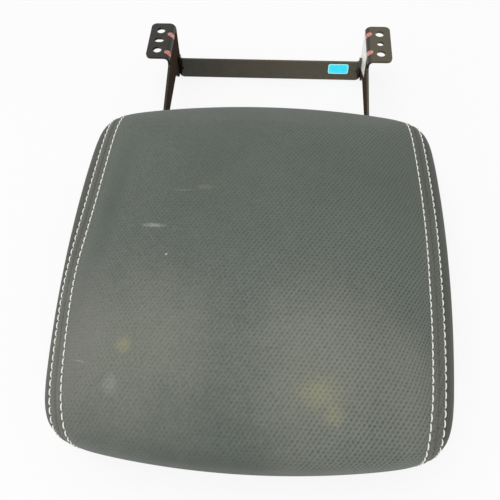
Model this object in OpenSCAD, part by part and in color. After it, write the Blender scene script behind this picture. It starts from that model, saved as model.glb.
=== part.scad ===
// Tip-up seat base: an upholstered cushion hinged on a steel wall bracket.
// +X is to the right, +Y towards the bracket end, +Z up, in millimetres.
// The origin is the centre of the four ear bolt holes, on the ears' top face.

/* [Bracket ears] */
// Distance from a side plate's inner face out to its ear's bolt holes
ear_hole_reach = 17.5; // [15:0.5:22]
// Distance between the two bolt holes of one ear, front to back
ear_hole_spacing_y = 38; // [34:1:42]
// Radius of the bolt holes
ear_hole_r = 5.5; // [4:0.1:6]
// Radius of the locating hole, and half the width of the locating slot
locating_r = 4.2; // [3:0.1:5]
// End to end length of the locating slot
locating_slot_l = 12; // [10:0.5:14]
// Length of an ear, front to back
ear_l = 67; // [60:1:74]
// Distance from the bolt holes to the ear's outer edge
ear_margin = 13.5; // [10:0.5:18]
// Corner radius of an ear
ear_corner_r = 7; // [3:0.5:9]

/* [Bracket] */
// Thickness of the pressed steel sheet
plate_t = 3; // [2.5:0.1:3.5]
// Inside radius of the sheet's bends
bend_r = 5; // [3:0.5:6]
// Clear width between the two side plates
bracket_inner_w = 249; // [243:1:253]
// Height of the bracket, from the ears' top face to the floor
bracket_h = 72; // [70:1:78]
// Depth of the leg's top edge below the ears, at the ears' front edge
leg_top_drop = 12.6; // [11:0.2:15]
// Fall of the leg's top edge for each millimetre forward
leg_slope = 0.26; // [0.2:0.01:0.28]
// Depth of the leg's bottom edge below the ears
leg_bottom_drop = 51; // [48:1:54]
// Height of the crossbar strap
crossbar_h = 30; // [22:1:34]
// Distance from the bolt pattern's centre back to the crossbar's front face
crossbar_setback = 11; // [7:0.5:14]
// Length of the crossbar's welded end flanges, past their bends
crossbar_flange_l = 6; // [6:0.5:10]
// Radius of the corners at the strap's ends
crossbar_corner_r = 5; // [3:0.5:5.5]
// Radius of the stiffening darts pressed into the bends
dart_r = 4.5; // [3:0.1:5]
// Depth of the darts in the middle of a bend
dart_depth = 2.2; // [1.5:0.1:3]
// Distance between the two darts of one ear
dart_spacing = 35; // [30:1:40]
// How far forward of the ear's middle the left ear's darts sit
left_dart_lead = 5.5; // [0:0.5:6]
// How far back from the ear's middle the right ear's darts sit
right_dart_lag = 1.5; // [0:0.5:4]
// Leg length of the weld beads' section
weld_leg = 3; // [2:0.5:3]

/* [Label] */
// Width of the blank label
label_w = 27; // [20:0.5:40]
// Height of the blank label
label_h = 16.5; // [12:0.5:20]
// Distance of the label's middle from the right side plate
label_inset = 31; // [30:0.5:60]
// Corner radius of the label
label_corner_r = 3; // [1:0.5:4]

/* [Hinge] */
// Distance from the bolt pattern's centre forward to the hinge axis
pivot_reach = 110; // [108:1:116]
// Depth of the hinge axis below the ears' top face
pivot_drop = 43; // [41:0.5:45]
// Radius of the round plate ends at the hinge
boss_r = 12; // [11:0.5:12]
// Radius of the pivot bolt's shank
pivot_r = 5; // [4:0.25:5.5]
// Thickness of the pivot bushes' wall
bush_wall = 2; // [1.5:0.25:2.5]
// Thickness of the bush flange
bush_flange_t = 1; // [0.8:0.1:1.5]
// Thickness of the washer between side plate and bush flange
washer_t = 0.8; // [0.6:0.1:1.5]
// Running clearance of the hinge, each way
running_gap = 0.05; // [0.03:0.01:0.08]
// Side clearance between the faces that turn on each other
face_gap = 0.2; // [0.2:0.05:0.4]
// Distance of the stop pin in front of the hinge axis
stop_forward = 18; // [16:0.5:20]
// Radius of the stop pin
stop_pin_r = 3.5; // [3:0.25:4]
// Outer radius of the rubber buffer on the stop pin
buffer_r = 6.2; // [5.5:0.1:7]

/* [Hinge arms] */
// Height of a hinge arm's web
arm_h = 22; // [20:1:22]
// Thickness of the hinge arms
arm_t = 4; // [3:0.5:5]
// Width of a hinge arm's flange
arm_flange_w = 24; // [20:1:30]
// Length of a hinge arm, from the hinge axis forward
arm_l = 215; // [200:5:300]
// Distance from the hinge axis forward to the first stud of an arm
stud_reach = 75; // [70:1:80]
// Number of studs that hold each hinge arm
arm_studs = 3; // [2:1:4]
// Radius of the studs
stud_r = 3; // [2.5:0.5:4]
// Depth of the tube that joins the hinge arms
tube_d = 20; // [16:1:30]
// Wall of the tube that joins the hinge arms
tube_wall = 2; // [1.5:0.25:3]

/* [Cushion] */
// Greatest width of the cushion
cushion_w = 388; // [378:1:400]
// Greatest length of the cushion
cushion_l = 420; // [400:1:440]
// Distance from the hinge axis forward to the cushion's rear edge
cushion_gap = 8; // [8:0.5:12]
// Depth of the cushion's widest line below the ears' top face
widest_drop = 14; // [12:0.5:16]
// Height of the crown above the widest line
crown_h = 55; // [45:1:58]
// Depth that the lower half's curve runs down to
under_h = 79; // [76:1:90]
// Extra half width at the rear, and the same less at the front
taper = 6; // [0:0.5:8]
// How far the sides draw in towards both ends
side_bow = 11; // [4:0.5:12]
// How far the rear edge bows
rear_bow = 24; // [20:0.5:26]
// How far the front edge bows
front_bow = 20; // [10:0.5:26]
// Squareness of the outline's corners
plan_power = 14; // [10:1:16]
// Squareness of the crown's section
crown_power = 2.5; // [2.3:0.1:2.8]
// Place of the side seams, as a share of the half width
seam_share = 0.9; // [0.86:0.01:0.92]
// Thickness of the cover
cover_t = 2; // [1.5:0.1:2.5]
// Height of the cover's hem above the floor
hem_h = 15; // [13:0.5:17]
// Height of the cover's hem above the floor at the rear, over the hinge arms
rear_hem_h = 44; // [43.5:0.5:46]

/* [Base] */
// Distance of the base cover's outer wall inside the cushion's outline
base_inset = 20; // [18:0.5:24]
// Wall of the base cover
base_t = 2.5; // [2:0.1:3]
// Thickness of the strip that holds the hem
strip_t = 2.8; // [2:0.1:3]
// Height of the strip that holds the hem
strip_h = 8; // [5:0.5:9]
// Thickness of the steel pan
pan_t = 2; // [1.5:0.1:2.5]
// Thickness of the skirt sewn to the hem
skirt_t = 1.2; // [0.8:0.1:1.5]
// Radius of the base screws' heads
screw_head_r = 4.5; // [4:0.25:5.5]
// Radius of the base screws' shanks
screw_r = 1.9; // [1.5:0.1:2.2]

/* [Hidden] */

$fn = 48;
fit_gap = 0.3;
touch = 0.01;
floor_z = -bracket_h;

// Bracket
side_x = bracket_inner_w / 2;
bend_out_r = bend_r + plate_t;
ear_x = side_x + bend_out_r;
ear_hole_x = side_x + ear_hole_reach;
ear_edge_x = ear_hole_x + ear_margin;
ear_front_y = -ear_l / 2;
ear_rear_y = ear_l / 2;
crossbar_bottom = floor_z + 1;
crossbar_mid = crossbar_bottom + crossbar_h / 2;
label_lift = 4;
dart_l = 22;
flange_end_y = crossbar_setback + bend_out_r + crossbar_flange_l;

// Hinge
pivot_y = -pivot_reach;
pivot_z = -pivot_drop;
arm_top = pivot_z + arm_h / 2;
arm_bottom = pivot_z - arm_h / 2;
stop_y = pivot_y - stop_forward;
stop_z = arm_bottom - fit_gap - buffer_r;
toe_rim = 5;
toe_r = stop_pin_r + toe_rim;
washer_rim = 2;
bush_r = pivot_r + running_gap + bush_wall;
arm_x_out = side_x - washer_t - face_gap - bush_flange_t;
arm_x_in = arm_x_out - arm_t;
bolt_head_h = 6;
nut_h = 6;
hex_share = 1.7;
thread_out = 2;
pin_out = 1;
pin_head_h = 1.5;
stop_pin_l = plate_t + washer_t + face_gap + bush_flange_t + arm_t + pin_out;

// Cushion
half_w = cushion_w / 2;
half_l = cushion_l / 2;
cushion_y = pivot_y - cushion_gap - half_l;
widest_z = -widest_drop;
hem_z = floor_z + hem_h;
rear_hem_z = floor_z + rear_hem_h;
rows = 22;
centre_cols = 14;
side_cols = 6;
seam_slit = 0.0012;
rise_from = 0.72;
rise_over = 0.2;
corner_share = 0.05;
foam_depth = cover_t + fit_gap;

// Base
strip_inset = base_inset + base_t + fit_gap;
pan_inset = strip_inset + strip_t + fit_gap;
pan_top = arm_top + pan_t;
pan_bottom = floor_z + base_t + fit_gap;
skirt_top = hem_z - fit_gap;
strip_top = skirt_top - skirt_t - fit_gap;
base_top = strip_top;
foam_seat = pan_top + fit_gap;
pan_side_gap = 1;
screw_share = 0.45;
arm_nut_h = 5;
arm_nut_rim = 0.6;
stud_l = arm_t + 2 * arm_nut_h;
head_lift = 0.3;
screw_head_h = 2;
screw_grip = 6;
screw_l = pan_inset - base_inset + screw_grip;
tube_top = arm_top - arm_t;
tube_lift = 2;
tube_h = arm_h - arm_t - tube_lift;
tube_inset = 10;
tube_y = pivot_y - arm_l + tube_inset;
stud_x = arm_x_in - arm_flange_w / 2;
stud_edge = 16;
stud_first_y = pivot_y - stud_reach;
stud_last_y = tube_y + tube_d + stud_edge;

// ---- outlines ----

// Points of a round corner at p, between the points a and b.
function corner(a, p, b, r, n = 8) =
    let (u = (a - p) / norm(a - p), v = (b - p) / norm(b - p),
         half = acos(u * v) / 2,
         c = p + (u + v) / norm(u + v) * r / sin(half),
         first = p + u * r / tan(half) - c,
         last = p + v * r / tan(half) - c,
         a0 = atan2(first[1], first[0]),
         turn = (atan2(last[1], last[0]) - a0 + 540) % 360 - 180)
    [for (i = [0:n]) c + r * [cos(a0 + turn * i / n), sin(a0 + turn * i / n)]];

// An outline through [x, y, corner radius] points.
function rounded(pts) =
    let (n = len(pts), at = function (i) [pts[i % n][0], pts[i % n][1]])
    [for (i = [0:n - 1])
        each pts[i][2] == 0 ? [at(i)] : corner(at(i + n - 1), at(i), at(i + 1), pts[i][2])];

function leg_top(y) = -leg_top_drop + leg_slope * (y - ear_front_y);

// ---- cushion surface, in shares of its half sizes, dips inside by depth ----

function place(s, depth = 0) =
    let (bow = s[1] > 0 ? rear_bow : front_bow,
         rise = s[2] > 0 ? crown_h : under_h)
    [s[0] * (half_w + taper * s[1] - side_bow * s[1] * s[1] - depth),
     cushion_y + s[1] * (half_l - depth) - bow * s[1] * s[0] * s[0],
     widest_z + s[2] * (rise - depth)];

function level(x, y, z) =
    pow(pow(abs(x), plan_power) + pow(abs(y), plan_power), crown_power / plan_power)
    + pow(abs(z), crown_power);

// Width share of the surface where the length and height shares are y and z.
function width_share(y, z) =
    pow(pow(1 - pow(abs(z), crown_power), plan_power / crown_power)
        - pow(abs(y), plan_power), 1 / plan_power);

// Distance to the surface in the slice at width share x, along the angle a.
function reach(x, a, lo = 0, hi = 1.6, n = 24) =
    let (m = (lo + hi) / 2)
    n == 0 ? m : level(x, m * sin(a), m * cos(a)) < 1
        ? reach(x, a, m, hi, n - 1) : reach(x, a, lo, m, n - 1);

// The hem climbs from its own height to the rear one, over the hinge arms.
function hem_rise(y) =
    let (t = min(max((y - rise_from) / rise_over, 0), 1)) t * t * (3 - 2 * t);
function hem_share(y, depth) =
    (hem_z + (rear_hem_z - hem_z) * hem_rise(y) - widest_z) / (under_h - depth);

// A point of a lengthwise line at width share x: t runs from 0, the rear
// hem, to 1, the front hem. Below the widest line, x is a share of the width
// at that height, so that the lines draw in with the sides.
function line_point(x, t, depth) =
    let (rear = 90 + atan(-hem_share(1, depth)), front = -90 - atan(-hem_share(-1, depth)),
         a = rear + (front - rear) * t)
    abs(a) > 90
        ? let (z = -tan(abs(a) - 90), w = width_share(0, z))
            [x * w, sign(a) * w * width_share(x, 0), z]
        : let (r = reach(x, a)) [x, r * sin(a), r * cos(a)];

// A point of a side panel: k runs from 0, the seam, to 1, the hem.
function side_point(x, t, k, depth) =
    let (s = line_point(x, t, depth),
         y_rear = line_point(x, 0, depth)[1] - corner_share,
         y_front = line_point(x, 1, depth)[1] + corner_share,
         yh = y_rear + (y_front - y_rear) * t,
         y = s[1] + (yh - s[1]) * k,
         z = t == 0 || t == 1 ? hem_share(y, depth) : s[2] + (hem_share(yh, depth) - s[2]) * k)
    k == 0 ? s : [width_share(y, z), y, z];

function centre_row(t, depth, edge) =
    [for (i = [0:centre_cols]) place(line_point(edge * (2 * i / centre_cols - 1), t, depth), depth)];
function side_row(t, depth, edge, first = 0) =
    [for (i = [first:side_cols]) place(side_point(edge, t, i / side_cols, depth), depth)];

// ---- meshes of closed sheets ----

function reversed(v) = [for (i = [len(v) - 1:-1:0]) v[i]];
function flipped(p) = [-p[0], p[1], p[2]];
function grid_faces(n, m, first, turn) =
    [for (j = [0:n - 2], i = [0:m - 2])
        let (a = first + j * m + i, b = a + 1, c = a + m + 1, d = a + m)
        each turn ? [[a, b, c], [a, c, d]] : [[a, c, b], [a, d, c]]];
function grid_edge(n, m, first) =
    [for (i = [0:m - 1]) first + i,
     for (j = [1:n - 1]) first + j * m + m - 1,
     for (i = [m - 2:-1:0]) first + (n - 1) * m + i,
     for (j = [n - 2:-1:1]) first + j * m];
function wall_faces(a, b) =
    [for (i = [0:len(a) - 1])
        let (k = (i + 1) % len(a))
        each [[a[i], a[k], b[k]], [a[i], b[k], b[i]]]];

// A closed sheet between two grids of n rows by m columns.
module sheet(outer, inner, n, m) {
    polyhedron(points = concat(outer, inner), convexity = 6,
        faces = concat(grid_faces(n, m, 0, false), grid_faces(n, m, n * m, true),
            wall_faces(grid_edge(n, m, 0), grid_edge(n, m, n * m))));
}

// ---- bracket ----

module plate_x(x0, t) {
    translate([x0, 0, 0]) rotate([90, 0, 90]) linear_extrude(t) children();
}

module dart_bar(r) {
    rotate([0, 45, 0]) cylinder(r = r, h = dart_l, center = true);
}

// What lies inside a bend, more than half the sheet's thickness under its outer
// faces. Those faces would meet at the origin.
module under_bend(reach) {
    polygon(rounded([[plate_t / 2, plate_t / 2, bend_out_r - plate_t / 2],
        [reach, plate_t / 2, 0], [reach, reach, 0], [plate_t / 2, reach, 0]]));
}

// Side plate outline, front to back and up.
module side_outline() {
    polygon(rounded([
        [ear_rear_y, -bend_out_r, 0],
        [ear_front_y, -bend_out_r, 0],
        [ear_front_y, leg_top(ear_front_y), 4],
        [pivot_y + 4, leg_top(pivot_y + 4), 20],
        [pivot_y - boss_r, pivot_z + 10, 9],
        [stop_y - toe_r, stop_z + toe_r - 2, 7],
        [stop_y - toe_r, stop_z - toe_r, toe_r],
        [stop_y + toe_r + 4, stop_z - toe_r, toe_r],
        [pivot_y + 8, -leg_bottom_drop, 10],
        [crossbar_setback - 20, -leg_bottom_drop, 8],
        [crossbar_setback, floor_z, 6],
        [ear_rear_y, floor_z, 10]]));
}

module ear_outline(slot) {
    difference() {
        polygon(rounded([
            [ear_x, ear_front_y, 0], [ear_edge_x, ear_front_y, ear_corner_r],
            [ear_edge_x, ear_rear_y, ear_corner_r], [ear_x, ear_rear_y, 0]]));
        for (s = [-1, 1]) translate([ear_hole_x, s * ear_hole_spacing_y / 2])
            circle(r = ear_hole_r);
        translate([ear_hole_x, 0]) {
            reach_x = slot ? locating_slot_l / 2 - locating_r : 0;
            for (s = [-1, 1]) translate([s * reach_x, 0]) circle(r = locating_r);
            if (slot) square([2 * reach_x, 2 * locating_r], center = true);
        }
    }
}

module ear_bend() {
    translate([ear_x, ear_front_y, -bend_out_r]) rotate([-90, 0, 0]) intersection() {
        difference() {
            cylinder(r = bend_out_r, h = ear_l);
            translate([0, 0, -1]) cylinder(r = bend_r, h = ear_l + 2);
        }
        translate([-bend_out_r, -bend_out_r, 0]) cube([bend_out_r, bend_out_r, ear_l]);
    }
}

// A dart sits on the bend's outer face, halfway round it.
module at_ear_darts(lead) {
    across = (bend_out_r + dart_r - dart_depth) * sin(45);
    for (s = [-1, 1])
        translate([ear_x - across, s * dart_spacing / 2 - lead, across - bend_out_r]) children();
}

module side_plate(slot, lead) {
    difference() {
        union() {
            plate_x(side_x, plate_t) side_outline();
            ear_bend();
            translate([0, 0, -plate_t]) linear_extrude(plate_t) ear_outline(slot);
            intersection() {
                at_ear_darts(lead) dart_bar(dart_r + plate_t - 0.5);
                translate([side_x, ear_front_y, 0]) rotate([-90, 0, 0])
                    linear_extrude(ear_l) under_bend(20);
            }
        }
        at_ear_darts(lead) dart_bar(dart_r);
        translate([side_x - 1, pivot_y, pivot_z]) rotate([0, 90, 0])
            cylinder(r = pivot_r + running_gap, h = plate_t + 2);
        translate([side_x - 1, stop_y, stop_z]) rotate([0, 90, 0])
            cylinder(r = stop_pin_r, h = plate_t + 2);
    }
}

module side_plate_left() {
    color("#26241f") mirror([1, 0, 0]) side_plate(true, left_dart_lead);
}

module side_plate_right() {
    color("#26241f") side_plate(false, -right_dart_lag);
}

module crossbar_half() {
    bend_x = side_x - bend_out_r;
    bend_y = crossbar_setback + bend_out_r;
    across = (bend_out_r + dart_r - dart_depth) * sin(45);
    difference() {
        union() {
            translate([-touch, crossbar_setback, 0]) cube([bend_x + touch, plate_t, crossbar_h]);
            translate([bend_x, bend_y, 0]) intersection() {
                difference() {
                    cylinder(r = bend_out_r, h = crossbar_h);
                    translate([0, 0, -1]) cylinder(r = bend_r, h = crossbar_h + 2);
                }
                translate([0, -bend_out_r, 0]) cube([bend_out_r, bend_out_r, crossbar_h]);
            }
            plate_x(side_x - plate_t, plate_t) polygon(rounded([
                [bend_y, 0, 0], [bend_y + crossbar_flange_l, 0, crossbar_corner_r],
                [bend_y + crossbar_flange_l, crossbar_h, crossbar_corner_r],
                [bend_y, crossbar_h, 0]]));
            intersection() {
                translate([bend_x + across, bend_y - across, crossbar_h / 2])
                    rotate([-90, 0, 0]) dart_bar(dart_r + plate_t - 0.5);
                translate([side_x, crossbar_setback, 0]) mirror([1, 0, 0])
                    linear_extrude(crossbar_h) under_bend(16);
            }
        }
        translate([bend_x + across, bend_y - across, crossbar_h / 2])
            rotate([-90, 0, 0]) dart_bar(dart_r);
    }
}

module crossbar() {
    color("#26241f") translate([0, 0, crossbar_bottom]) {
        crossbar_half();
        mirror([1, 0, 0]) crossbar_half();
    }
}

// A bead in the corner between each crossbar flange's end and the side plate.
module weld_beads() {
    color("#2f2c28") for (s = [0, 1]) mirror([s, 0, 0])
        translate([side_x, flange_end_y, crossbar_bottom + crossbar_corner_r])
            linear_extrude(crossbar_h - 2 * crossbar_corner_r) polygon([[0, 0], [-weld_leg, 0], [0, weld_leg]]);
}

module label() {
    color("#2fd8f0") translate([side_x - label_inset, crossbar_setback, crossbar_mid + label_lift])
        rotate([90, 0, 0]) linear_extrude(0.3) polygon(rounded([
            [-label_w / 2, -label_h / 2, label_corner_r], [label_w / 2, -label_h / 2, label_corner_r],
            [label_w / 2, label_h / 2, label_corner_r], [-label_w / 2, label_h / 2, label_corner_r]]));
}

// ---- hinge ----

// Turns a piece drawn along +X, away from the middle, to both hinge sides.
module both_sides(y, z) {
    for (s = [0, 1]) mirror([s, 0, 0]) translate([0, y, z]) rotate([0, 90, 0]) children();
}

module pivot_bolts() {
    thread_end = arm_x_in - face_gap - nut_h - thread_out;
    color("#8d8f90") both_sides(pivot_y, pivot_z) {
        translate([0, 0, thread_end]) cylinder(r = pivot_r, h = side_x + plate_t - thread_end);
        translate([0, 0, side_x + plate_t]) cylinder(r = hex_share * pivot_r, h = bolt_head_h, $fn = 6);
    }
}

module pivot_nuts() {
    color("#8d8f90") both_sides(pivot_y, pivot_z)
        translate([0, 0, arm_x_in - face_gap - nut_h]) difference() {
            cylinder(r = hex_share * pivot_r, h = nut_h, $fn = 6);
            translate([0, 0, -1]) cylinder(r = pivot_r + running_gap, h = nut_h + 2);
        }
}

module pivot_washers() {
    color("#9a9c9c") both_sides(pivot_y, pivot_z)
        translate([0, 0, side_x - washer_t]) difference() {
            cylinder(r = boss_r - washer_rim, h = washer_t);
            translate([0, 0, -1]) cylinder(r = pivot_r + running_gap, h = washer_t + 2);
        }
}

module stop_pins() {
    color("#7d7f80") both_sides(stop_y, stop_z)
        translate([0, 0, side_x + plate_t - stop_pin_l]) {
            cylinder(r = stop_pin_r, h = stop_pin_l);
            translate([0, 0, stop_pin_l]) cylinder(r = stop_pin_r + pin_head_h, h = pin_head_h);
        }
}

module stop_buffers() {
    color("#1c1c1c") both_sides(stop_y, stop_z)
        translate([0, 0, side_x + plate_t - stop_pin_l]) difference() {
            cylinder(r = buffer_r, h = stop_pin_l - plate_t - face_gap);
            translate([0, 0, -1]) cylinder(r = stop_pin_r, h = stop_pin_l);
        }
}

module hinge_arm() {
    difference() {
        union() {
            plate_x(arm_x_in, arm_t) {
                translate([pivot_y, pivot_z]) circle(r = boss_r);
                translate([pivot_y - arm_l, arm_bottom]) square([arm_l, arm_h]);
            }
            translate([arm_x_in - arm_flange_w, pivot_y - arm_l, arm_top - arm_t])
                cube([arm_flange_w + touch, stud_first_y - pivot_y + stud_edge + arm_l, arm_t]);
        }
        translate([arm_x_in - 1, pivot_y, pivot_z]) rotate([0, 90, 0])
            cylinder(r = bush_r, h = arm_t + 2);
        at_studs() translate([0, 0, -arm_t - 1]) cylinder(r = stud_r + fit_gap, h = arm_t + 2);
    }
}

module hinge_arm_left() {
    color("#2a2926") mirror([1, 0, 0]) hinge_arm();
}

module hinge_arm_right() {
    color("#2a2926") hinge_arm();
}

module pivot_bushes() {
    color("#d9d6c8") both_sides(pivot_y, pivot_z)
        translate([0, 0, arm_x_in]) difference() {
            union() {
                cylinder(r = bush_r, h = arm_t);
                translate([0, 0, arm_t]) cylinder(r = boss_r - washer_rim, h = bush_flange_t);
            }
            translate([0, 0, -1])
                cylinder(r = pivot_r + running_gap, h = arm_t + bush_flange_t + 2);
        }
}

module arm_tube() {
    color("#2a2926") plate_x(-arm_x_in, 2 * arm_x_in)
        translate([tube_y, tube_top - tube_h]) difference() {
            square([tube_d, tube_h]);
            translate([tube_wall, tube_wall])
                square([tube_d - 2 * tube_wall, tube_h - 2 * tube_wall]);
        }
}

// ---- base ----

// The cushion's outline, drawn in by inset.
module plan(inset) {
    steps = 9;
    polygon([for (turn = [0:90:270], i = [1 - steps:steps])
        let (u = sign(i) * (1 - pow(1 - abs(i) / steps, 2)),
             r = pow(1 + pow(abs(u), plan_power), -1 / plan_power),
             p = place([r * (cos(turn) - u * sin(turn)), r * (sin(turn) + u * cos(turn)), 0], inset))
        [p[0], p[1]]]);
}

module ring(inset, wall, z0, z1) {
    translate([0, 0, z0]) difference() {
        linear_extrude(z1 - z0) plan(inset);
        translate([0, 0, -1]) linear_extrude(z1 - z0 + 2) plan(inset + wall);
    }
}

module at_studs() {
    for (i = [0:arm_studs - 1])
        translate([stud_x, stud_first_y + (stud_last_y - stud_first_y) * i / (arm_studs - 1),
            arm_top]) children();
}

// Places a piece drawn along +Z, outwards, on the base's wall at the shares s.
// The step goes on round the outline, anticlockwise.
module on_wall(s, step, z) {
    a = place([s[0], s[1], 0], base_inset);
    b = place([s[0] + step[0], s[1] + step[1], 0], base_inset);
    translate([a[0], a[1], z]) rotate([0, 90, atan2(a[0] - b[0], b[1] - a[1])]) children();
}

module at_screws() {
    screw_z = (base_top + floor_z + base_t) / 2;
    for (side = [0, 1]) mirror([side, 0, 0]) for (end = [-1, 1]) {
        on_wall([1, screw_share * end], [0, touch], screw_z) children();
        on_wall([1 / 3, end], [-touch * end, 0], screw_z) children();
    }
}

module seat_pan() {
    color("#3a3a38") difference() {
        translate([0, 0, pan_bottom]) linear_extrude(pan_top - pan_bottom) plan(pan_inset);
        translate([0, 0, pan_bottom - 1]) linear_extrude(pan_top - pan_t - pan_bottom + 1)
            plan(pan_inset + pan_t);
        for (s = [0, 1]) mirror([s, 0, 0])
            translate([arm_x_in - 1, cushion_y, pan_bottom - 1])
                cube([arm_t + 2, half_l, arm_top - pan_bottom + 1]);
        at_screws() cylinder(r = screw_r + running_gap, h = 2 * screw_l, center = true);
    }
}

module pan_studs() {
    color("#8d8f90") for (s = [0, 1]) mirror([s, 0, 0]) at_studs()
        translate([0, 0, -stud_l]) cylinder(r = stud_r, h = stud_l);
}

module arm_nuts() {
    color("#8d8f90") for (s = [0, 1]) mirror([s, 0, 0]) at_studs()
        translate([0, 0, -arm_t - arm_nut_h]) difference() {
            cylinder(r = hex_share * stud_r + arm_nut_rim, h = arm_nut_h, $fn = 6);
            translate([0, 0, -1]) cylinder(r = stud_r + running_gap, h = arm_nut_h + 2);
        }
}

module base_cover() {
    color("#232323") difference() {
        union() {
            translate([0, 0, floor_z]) linear_extrude(base_t) plan(base_inset);
            ring(base_inset, base_t, floor_z, base_top);
        }
        at_screws() cylinder(r = screw_r + running_gap, h = 2 * screw_l, center = true);
    }
}

module hem_strip() {
    color("#3c3c3a") difference() {
        ring(strip_inset, strip_t, strip_top - strip_h, strip_top);
        at_screws() cylinder(r = screw_r + fit_gap, h = 2 * screw_l, center = true);
    }
}

module base_screws() {
    color("#1e1e1e") at_screws() {
        translate([0, 0, -screw_l]) cylinder(r = screw_r, h = screw_l + head_lift);
        translate([0, 0, head_lift]) cylinder(r = screw_head_r, h = screw_head_h);
    }
}

// ---- upholstery ----

// The foam's top is one grid from hem to hem. Below, it goes round the pan.
module foam_pad() {
    cols = centre_cols + 2 * side_cols + 1;
    top = [for (j = [0:rows])
        let (t = j / rows, side = side_row(t, foam_depth, seam_share, 1))
        each concat([for (p = reversed(side)) flipped(p)],
            centre_row(t, foam_depth, seam_share), side)];
    edge = grid_edge(rows + 1, cols, 0);
    n = len(edge);
    foot = [for (i = edge) plan_point(top[i], pan_inset - pan_side_gap)];
    count = len(top);
    points = concat(top,
        [for (i = [0:n - 1]) [foot[i][0], foot[i][1], top[edge[i]][2]]],
        [for (p = foot) [p[0], p[1], foam_seat]],
        [[0, cushion_y, foam_seat]]);
    foot_edge = [for (i = [0:n - 1]) count + i];
    seat_edge = [for (i = [0:n - 1]) count + n + i];
    color("#d8c78e") polyhedron(points = points, convexity = 6, faces = concat(
        grid_faces(rows + 1, cols, 0, false), wall_faces(edge, foot_edge),
        wall_faces(foot_edge, seat_edge),
        [for (i = [0:n - 1]) [seat_edge[i], seat_edge[(i + 1) % n], count + 2 * n]]));
}

// The point of the drawn-in outline that faces a point of the surface.
function plan_point(p, inset) =
    let (y0 = (p[1] - cushion_y) / half_l,
         bow = y0 > 0 ? rear_bow : front_bow,
         x = p[0] / (half_w + taper * y0 - side_bow * y0 * y0),
         y = y0 / (1 - bow * x * x / half_l),
         r = pow(pow(abs(x), plan_power) + pow(abs(y), plan_power), 1 / plan_power))
    place([x / r, y / r, 0], inset);

module cover_centre() {
    outer = [for (j = [0:rows]) each centre_row(j / rows, 0, seam_share - seam_slit)];
    inner = [for (j = [0:rows]) each centre_row(j / rows, cover_t, seam_share - seam_slit)];
    color("#6d726c") sheet(outer, inner, rows + 1, centre_cols + 1);
}

module cover_side() {
    outer = [for (j = [0:rows]) each side_row(j / rows, 0, seam_share + seam_slit)];
    inner = [for (j = [0:rows]) each side_row(j / rows, cover_t, seam_share + seam_slit)];
    color("#64685f") sheet(outer, inner, rows + 1, side_cols + 1);
}

module cover_side_left() {
    mirror([1, 0, 0]) cover_side();
}

module cover_side_right() {
    cover_side();
}

// A flat ring under the hem, from the cover's edge in to the pan.
module hem_skirt() {
    cols = centre_cols + 2 * side_cols + 1;
    top = [for (j = [0:rows])
        let (t = j / rows, side = side_row(t, 0, seam_share, 1))
        each concat([for (p = reversed(side)) flipped(p)],
            centre_row(t, 0, seam_share), side)];
    edge = grid_edge(rows + 1, cols, 0);
    n = len(edge);
    inner = [for (i = edge) plan_point(top[i], pan_inset - pan_side_gap)];
    function lift(ps, z) = [for (i = [0:n - 1]) [ps[i][0], ps[i][1], top[edge[i]][2] - z]];
    outer = [for (i = edge) top[i]];
    points = concat(lift(outer, fit_gap), lift(outer, fit_gap + skirt_t),
        lift(inner, fit_gap + skirt_t), lift(inner, fit_gap));
    side = function (k) [for (i = [0:n - 1]) k * n + i];
    color("#30312f") polyhedron(points = points, convexity = 6, faces = concat(
        wall_faces(side(0), side(1)), wall_faces(side(1), side(2)),
        wall_faces(side(2), side(3)), wall_faces(side(3), side(0))));
}

side_plate_left();
side_plate_right();
crossbar();
weld_beads();
label();
pivot_bolts();
pivot_nuts();
pivot_washers();
stop_pins();
stop_buffers();
hinge_arm_left();
hinge_arm_right();
pivot_bushes();
arm_tube();
seat_pan();
pan_studs();
arm_nuts();
foam_pad();
cover_centre();
cover_side_left();
cover_side_right();
hem_skirt();
hem_strip();
base_cover();
base_screws();
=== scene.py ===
"""A tip-up seat base: an upholstered cushion hinged on a black steel bracket.

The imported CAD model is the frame. What follows dresses it piece by piece, in
the order in which the object is put together. Lengths are in metres.
"""
import math

import bmesh
import bpy
import numpy as np
from mathutils import Matrix, Vector
from mathutils.bvhtree import BVHTree


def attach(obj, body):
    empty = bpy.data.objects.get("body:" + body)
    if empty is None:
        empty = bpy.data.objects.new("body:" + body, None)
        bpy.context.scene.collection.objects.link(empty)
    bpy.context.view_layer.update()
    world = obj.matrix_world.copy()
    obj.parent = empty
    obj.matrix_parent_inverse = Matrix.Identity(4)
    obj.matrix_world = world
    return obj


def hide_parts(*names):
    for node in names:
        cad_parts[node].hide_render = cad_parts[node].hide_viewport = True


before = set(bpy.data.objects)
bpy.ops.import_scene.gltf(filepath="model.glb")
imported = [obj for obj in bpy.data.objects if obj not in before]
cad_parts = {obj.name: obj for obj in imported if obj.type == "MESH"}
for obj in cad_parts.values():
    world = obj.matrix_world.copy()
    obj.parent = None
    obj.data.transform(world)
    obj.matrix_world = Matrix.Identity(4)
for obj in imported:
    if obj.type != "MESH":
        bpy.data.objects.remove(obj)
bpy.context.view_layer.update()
MM = 0.001

# ---------------------------------------------------------------------------
# Side plates and crossbar: 3 mm cold rolled steel sheet, blanked, bent and
# welded, then coated as one with gloss black stove enamel. On the plates' inner
# faces a pale painted glare and a brown painted dark reflection lie over it.
# Red marking paint, with a little painted glow, is brushed into the darts of the
# ears' bends.
EAR_BEND_X, DART_Z, DART_SPACING, STROKE_R = 125.217*MM, -0.717*MM, 35*MM, 4.6*MM
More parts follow.
